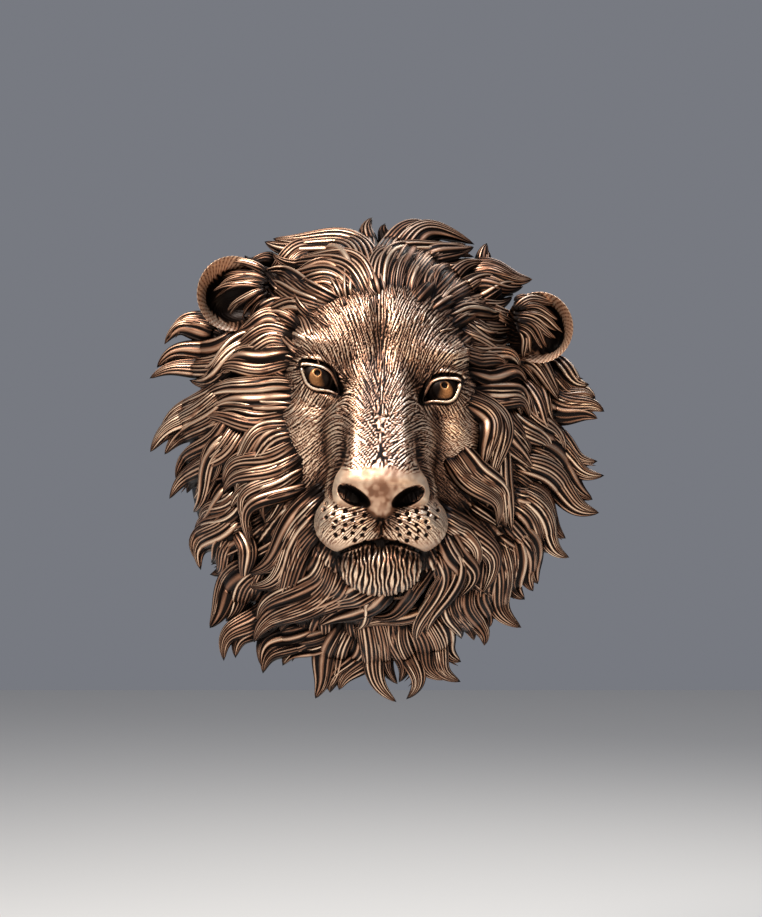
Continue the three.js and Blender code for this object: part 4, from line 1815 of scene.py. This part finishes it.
class Socket:
    """A shader value that can be written as sums: an expression on it adds its Math nodes."""

    def __init__(self, tree: bpy.types.NodeTree, link: bpy.types.NodeSocket) -> None:
        """Wraps an output socket."""
        self.tree = tree
        self.link = link

    def _math(self, operation: str, *values: object, clamp: bool = False) -> Socket:
        """Adds a Math node.

        Args:
            operation: What it does.
            values: Values or links for its sockets.
            clamp: Whether the result is held between 0 and 1.

        Returns:
            Its result.
        """
        node = self.tree.nodes.new("ShaderNodeMath")
        node.operation = operation
        node.use_clamp = clamp
        for slot, value in zip(node.inputs, values):
            if isinstance(value, Socket):
                self.tree.links.new(value.link, slot)
            else:
                slot.default_value = value
        return Socket(self.tree, node.outputs[0])

    def __add__(self, other: object) -> Socket:
        """The sum."""
        return self._math("ADD", self, other)

    def __radd__(self, other: object) -> Socket:
        """The sum."""
        return self._math("ADD", other, self)

    def __sub__(self, other: object) -> Socket:
        """The difference."""
        return self._math("SUBTRACT", self, other)

    def __rsub__(self, other: object) -> Socket:
        """The difference, the other way round."""
        return self._math("SUBTRACT", other, self)

    def __mul__(self, other: object) -> Socket:
        """The product."""
        return self._math("MULTIPLY", self, other)

    def __rmul__(self, other: object) -> Socket:
        """The product."""
        return self._math("MULTIPLY", other, self)

    def __pow__(self, other: object) -> Socket:
        """The power."""
        return self._math("POWER", self, other)

    def clamped(self) -> Socket:
        """The value held between 0 and 1."""
        return self._math("ADD", self, 0.0, clamp=True)

    def between(self, low: float, high: float) -> Socket:
        """0 up to low, 1 from high, and even between."""
        return self._math("MULTIPLY", self - low, 1.0 / (high - low), clamp=True)


class Paint:
    """Builds a material's nodes."""

    def __init__(self, name: str) -> None:
        """Starts a material with an empty tree.

        Args:
            name: The material's name.
        """
        self.material = bpy.data.materials.new(name)
        self.material.use_nodes = True
        self.tree = self.material.node_tree
        self.tree.nodes.clear()

    def node(
        self,
        kind: str,
        settings: dict[str, object] | None = None,
        numbered: dict[int, object] | None = None,
        **named: object,
    ) -> bpy.types.Node:
        """Adds a node.

        Args:
            kind: The node's type.
            settings: What the node is set to, before its sockets.
            numbered: Values or links for its sockets by number, where their names repeat.
            named: Values or links for its sockets by name, with _ for a space.

        Returns:
            The node.
        """
        made = self.tree.nodes.new(kind)
        for key, value in (settings or {}).items():
            setattr(made, key, value)
        slots = [(made.inputs[number], value) for number, value in (numbered or {}).items()]
        slots += [(made.inputs[name.replace("_", " ")], value) for name, value in named.items()]
        for slot, value in slots:
            if isinstance(value, Socket):
                self.tree.links.new(value.link, slot)
            elif isinstance(value, bpy.types.NodeSocket):
                self.tree.links.new(value, slot)
            else:
                slot.default_value = value
        return made

    def attribute(self, name: str) -> Socket:
        """A vertex value by its attribute's name."""
        return Socket(self.tree, self.node("ShaderNodeAttribute", {"attribute_name": name}).outputs["Fac"])

    def noise(self, place: bpy.types.NodeSocket, scale: float, detail: float) -> Socket:
        """Soft noise between 0 and 1, of a scale and with so many finer layers."""
        made = self.node("ShaderNodeTexNoise", Vector=place, Scale=scale, Detail=detail)
        return Socket(self.tree, made.outputs["Fac"])

    def mix(self, share: Socket, a: object, b: object) -> bpy.types.NodeSocket:
        """Mixes two colours by a share."""
        return self.node("ShaderNodeMix", {"data_type": "RGBA"}, {0: share, 6: a, 7: b}).outputs[2]


@dataclass(frozen=True)
class Bronze:
    """Cast bronze: dark patina in the recesses, brown on the forms, ridges rubbed to gold."""

    name: str = "patinated_bronze"
    recess: Colour = (0.006, 0.003, 0.002, 1.0)
    brown: Colour = (0.31, 0.148, 0.086, 1.0)
    rubbed: Colour = (0.88, 0.67, 0.48, 1.0)
    brown_span: tuple[float, float] = (0.34, 0.68)
    rubbed_span: tuple[float, float] = (0.6, 1.02)
    cloud_scale: float = 34.0
    grain_scale: float = 900.0
    metallic: float = 0.95
    coat: float = 0.08
    coat_roughness: float = 0.3

    def build(self) -> bpy.types.Material:
        """Makes the material.

        Returns:
            The bronze.
        """
        paint = Paint(self.name)
        ridge, gold, smooth, open_ = (paint.attribute(n) for n in ("ridge", "gold", "smooth", "open"))
        place = paint.node("ShaderNodeTexCoord").outputs["Object"]
        cloud = paint.noise(place, self.cloud_scale, 5.0)
        grain = paint.noise(place, self.grain_scale, 2.0)
        across, along = paint.attribute("across"), paint.attribute("along")
        lay = paint.node("ShaderNodeCombineXYZ", X=across * 0.9, Y=along * 0.05)
        streak = paint.noise(lay.outputs[0], 1.0, 3.0)
        patches = 0.55 * (cloud - 0.5) * (1.0 - 0.75 * smooth)
        high = ridge * (0.5 + 0.62 * open_ + 0.5 * (streak - 0.5) + patches)
        brown = paint.mix(high.between(*self.brown_span), self.recess, self.brown)
        shine = (high.between(*self.rubbed_span) * (0.45 + gold)).clamped()
        colour = paint.mix(shine, brown, self.rubbed)
        bump = paint.node("ShaderNodeBump", Strength=0.25, Distance=0.0004, Height=0.4 * grain + streak)
        shader = paint.node(
            "ShaderNodeBsdfPrincipled",
            Base_Color=colour,
            Metallic=self.metallic,
            Roughness=(0.48 - 0.13 * shine + 0.12 * smooth).clamped(),
            Coat_Weight=self.coat,
            Coat_Roughness=self.coat_roughness,
            Normal=bump.outputs["Normal"],
        )
        paint.node("ShaderNodeOutputMaterial", Surface=shader.outputs[0])
        return paint.material


AMBER_BRONZE = Bronze("amber_bronze", brown=(0.22, 0.09, 0.032, 1.0), rubbed=(0.6, 0.3, 0.12, 1.0))


# Studio


@dataclass(frozen=True)
class Light:
    """A soft square light: where it hangs, its power in watts, its side in metres and its colour."""

    name: str
    place: Triple
    power: float
    size: float
    colour: Triple


LIGHTS = (
    Light("key", (-1.0, -1.25, 1.4), 85.0, 0.6, (1.0, 0.94, 0.87)),
    Light("sky", (0.4, -1.0, 1.7), 24.0, 1.0, (0.7, 0.83, 1.0)),
    Light("fill", (1.1, -2.0, 0.1), 12.0, 1.0, (1.0, 0.82, 0.6)),
    Light("back", (0.6, 1.4, 1.2), 14.0, 1.0, (1.0, 0.97, 0.93)),
)


@dataclass(frozen=True)
class Studio:
    """A pale floor well below the mask, soft light and the camera of the photograph."""

    distance: float = 2.2
    pixel: float = 0.00095
    frame_high: int = 917
    sensor: float = 24.0
    floor_z: float = -0.62
    floor_reach: float = 4.0
    floor_colour: Colour = (0.7, 0.69, 0.67, 1.0)
    floor_roughness: float = 0.8
    world_colour: Colour = (0.84, 0.88, 1.0, 1.0)
    world_strength: float = 0.22

    def build(self) -> None:
        """Sets the floor, the lights, the world and the camera."""
        scene = bpy.context.scene
        made = bmesh.new()
        bmesh.ops.create_grid(made, x_segments=1, y_segments=1, size=self.floor_reach)
        bmesh.ops.translate(made, verts=made.verts, vec=(0.0, 0.0, self.floor_z))
        data = bpy.data.meshes.new("floor")
        made.to_mesh(data)
        made.free()
        floor = bpy.data.objects.new("floor", data)
        paint = Paint("pale_floor")
        shader = paint.node(
            "ShaderNodeBsdfPrincipled",
            Base_Color=self.floor_colour,
            Roughness=self.floor_roughness,
        )
        paint.node("ShaderNodeOutputMaterial", Surface=shader.outputs[0])
        data.materials.append(paint.material)
        scene.collection.objects.link(floor)

        world = bpy.data.worlds.new("studio")
        world.use_nodes = True
        back = world.node_tree.nodes["Background"]
        back.inputs["Color"].default_value = self.world_colour
        back.inputs["Strength"].default_value = self.world_strength
        scene.world = world
        scene.view_settings.view_transform = "Standard"
        for light in LIGHTS:
            self.hang(light)

        lens = bpy.data.cameras.new("camera")
        lens.sensor_fit = "VERTICAL"
        lens.sensor_height = self.sensor
        lens.lens = lens.sensor_height * self.distance / (self.frame_high * self.pixel)
        camera = bpy.data.objects.new("camera", lens)
        camera.location = (0.0, -self.distance, 0.0)
        camera.rotation_euler = (math.radians(90.0), 0.0, 0.0)
        scene.collection.objects.link(camera)
        scene.camera = camera

    def hang(self, light: Light) -> None:
        """Hangs a light so that it looks at the mask.

        Args:
            light: The light.
        """
        lamp = bpy.data.lights.new(light.name, "AREA")
        lamp.energy = light.power
        lamp.size = light.size
        lamp.color = light.colour
        made = bpy.data.objects.new(light.name, lamp)
        made.location = light.place
        made.rotation_euler = (-Vector(light.place)).to_track_quat("-Z", "Y").to_euler()
        bpy.context.scene.collection.objects.link(made)


def main() -> None:
    """Builds the mask round its frame, dresses it and sets the studio."""
    logging.basicConfig(level=logging.INFO, format="%(name)s: %(message)s")
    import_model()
    head = Head()
    ears = (LEFT_EAR, RIGHT_EAR)
    pieces = [*Face(head, Fur()).build(), *Mane(head, ears).build(), Eyes(head).build()]
    pieces += [ear.build() for ear in ears]
    Wear().mark(pieces)
    bronze, amber = Bronze().build(), AMBER_BRONZE.build()
    for piece in pieces:
        piece.data.materials.append(amber if piece.name == "eyeballs" else bronze)
        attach(piece, BODY)
        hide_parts(CASTING)
        LOG.info("%s: %d faces", piece.name, len(piece.data.polygons))
    Studio().build()


if __name__ == "__main__":
    main()
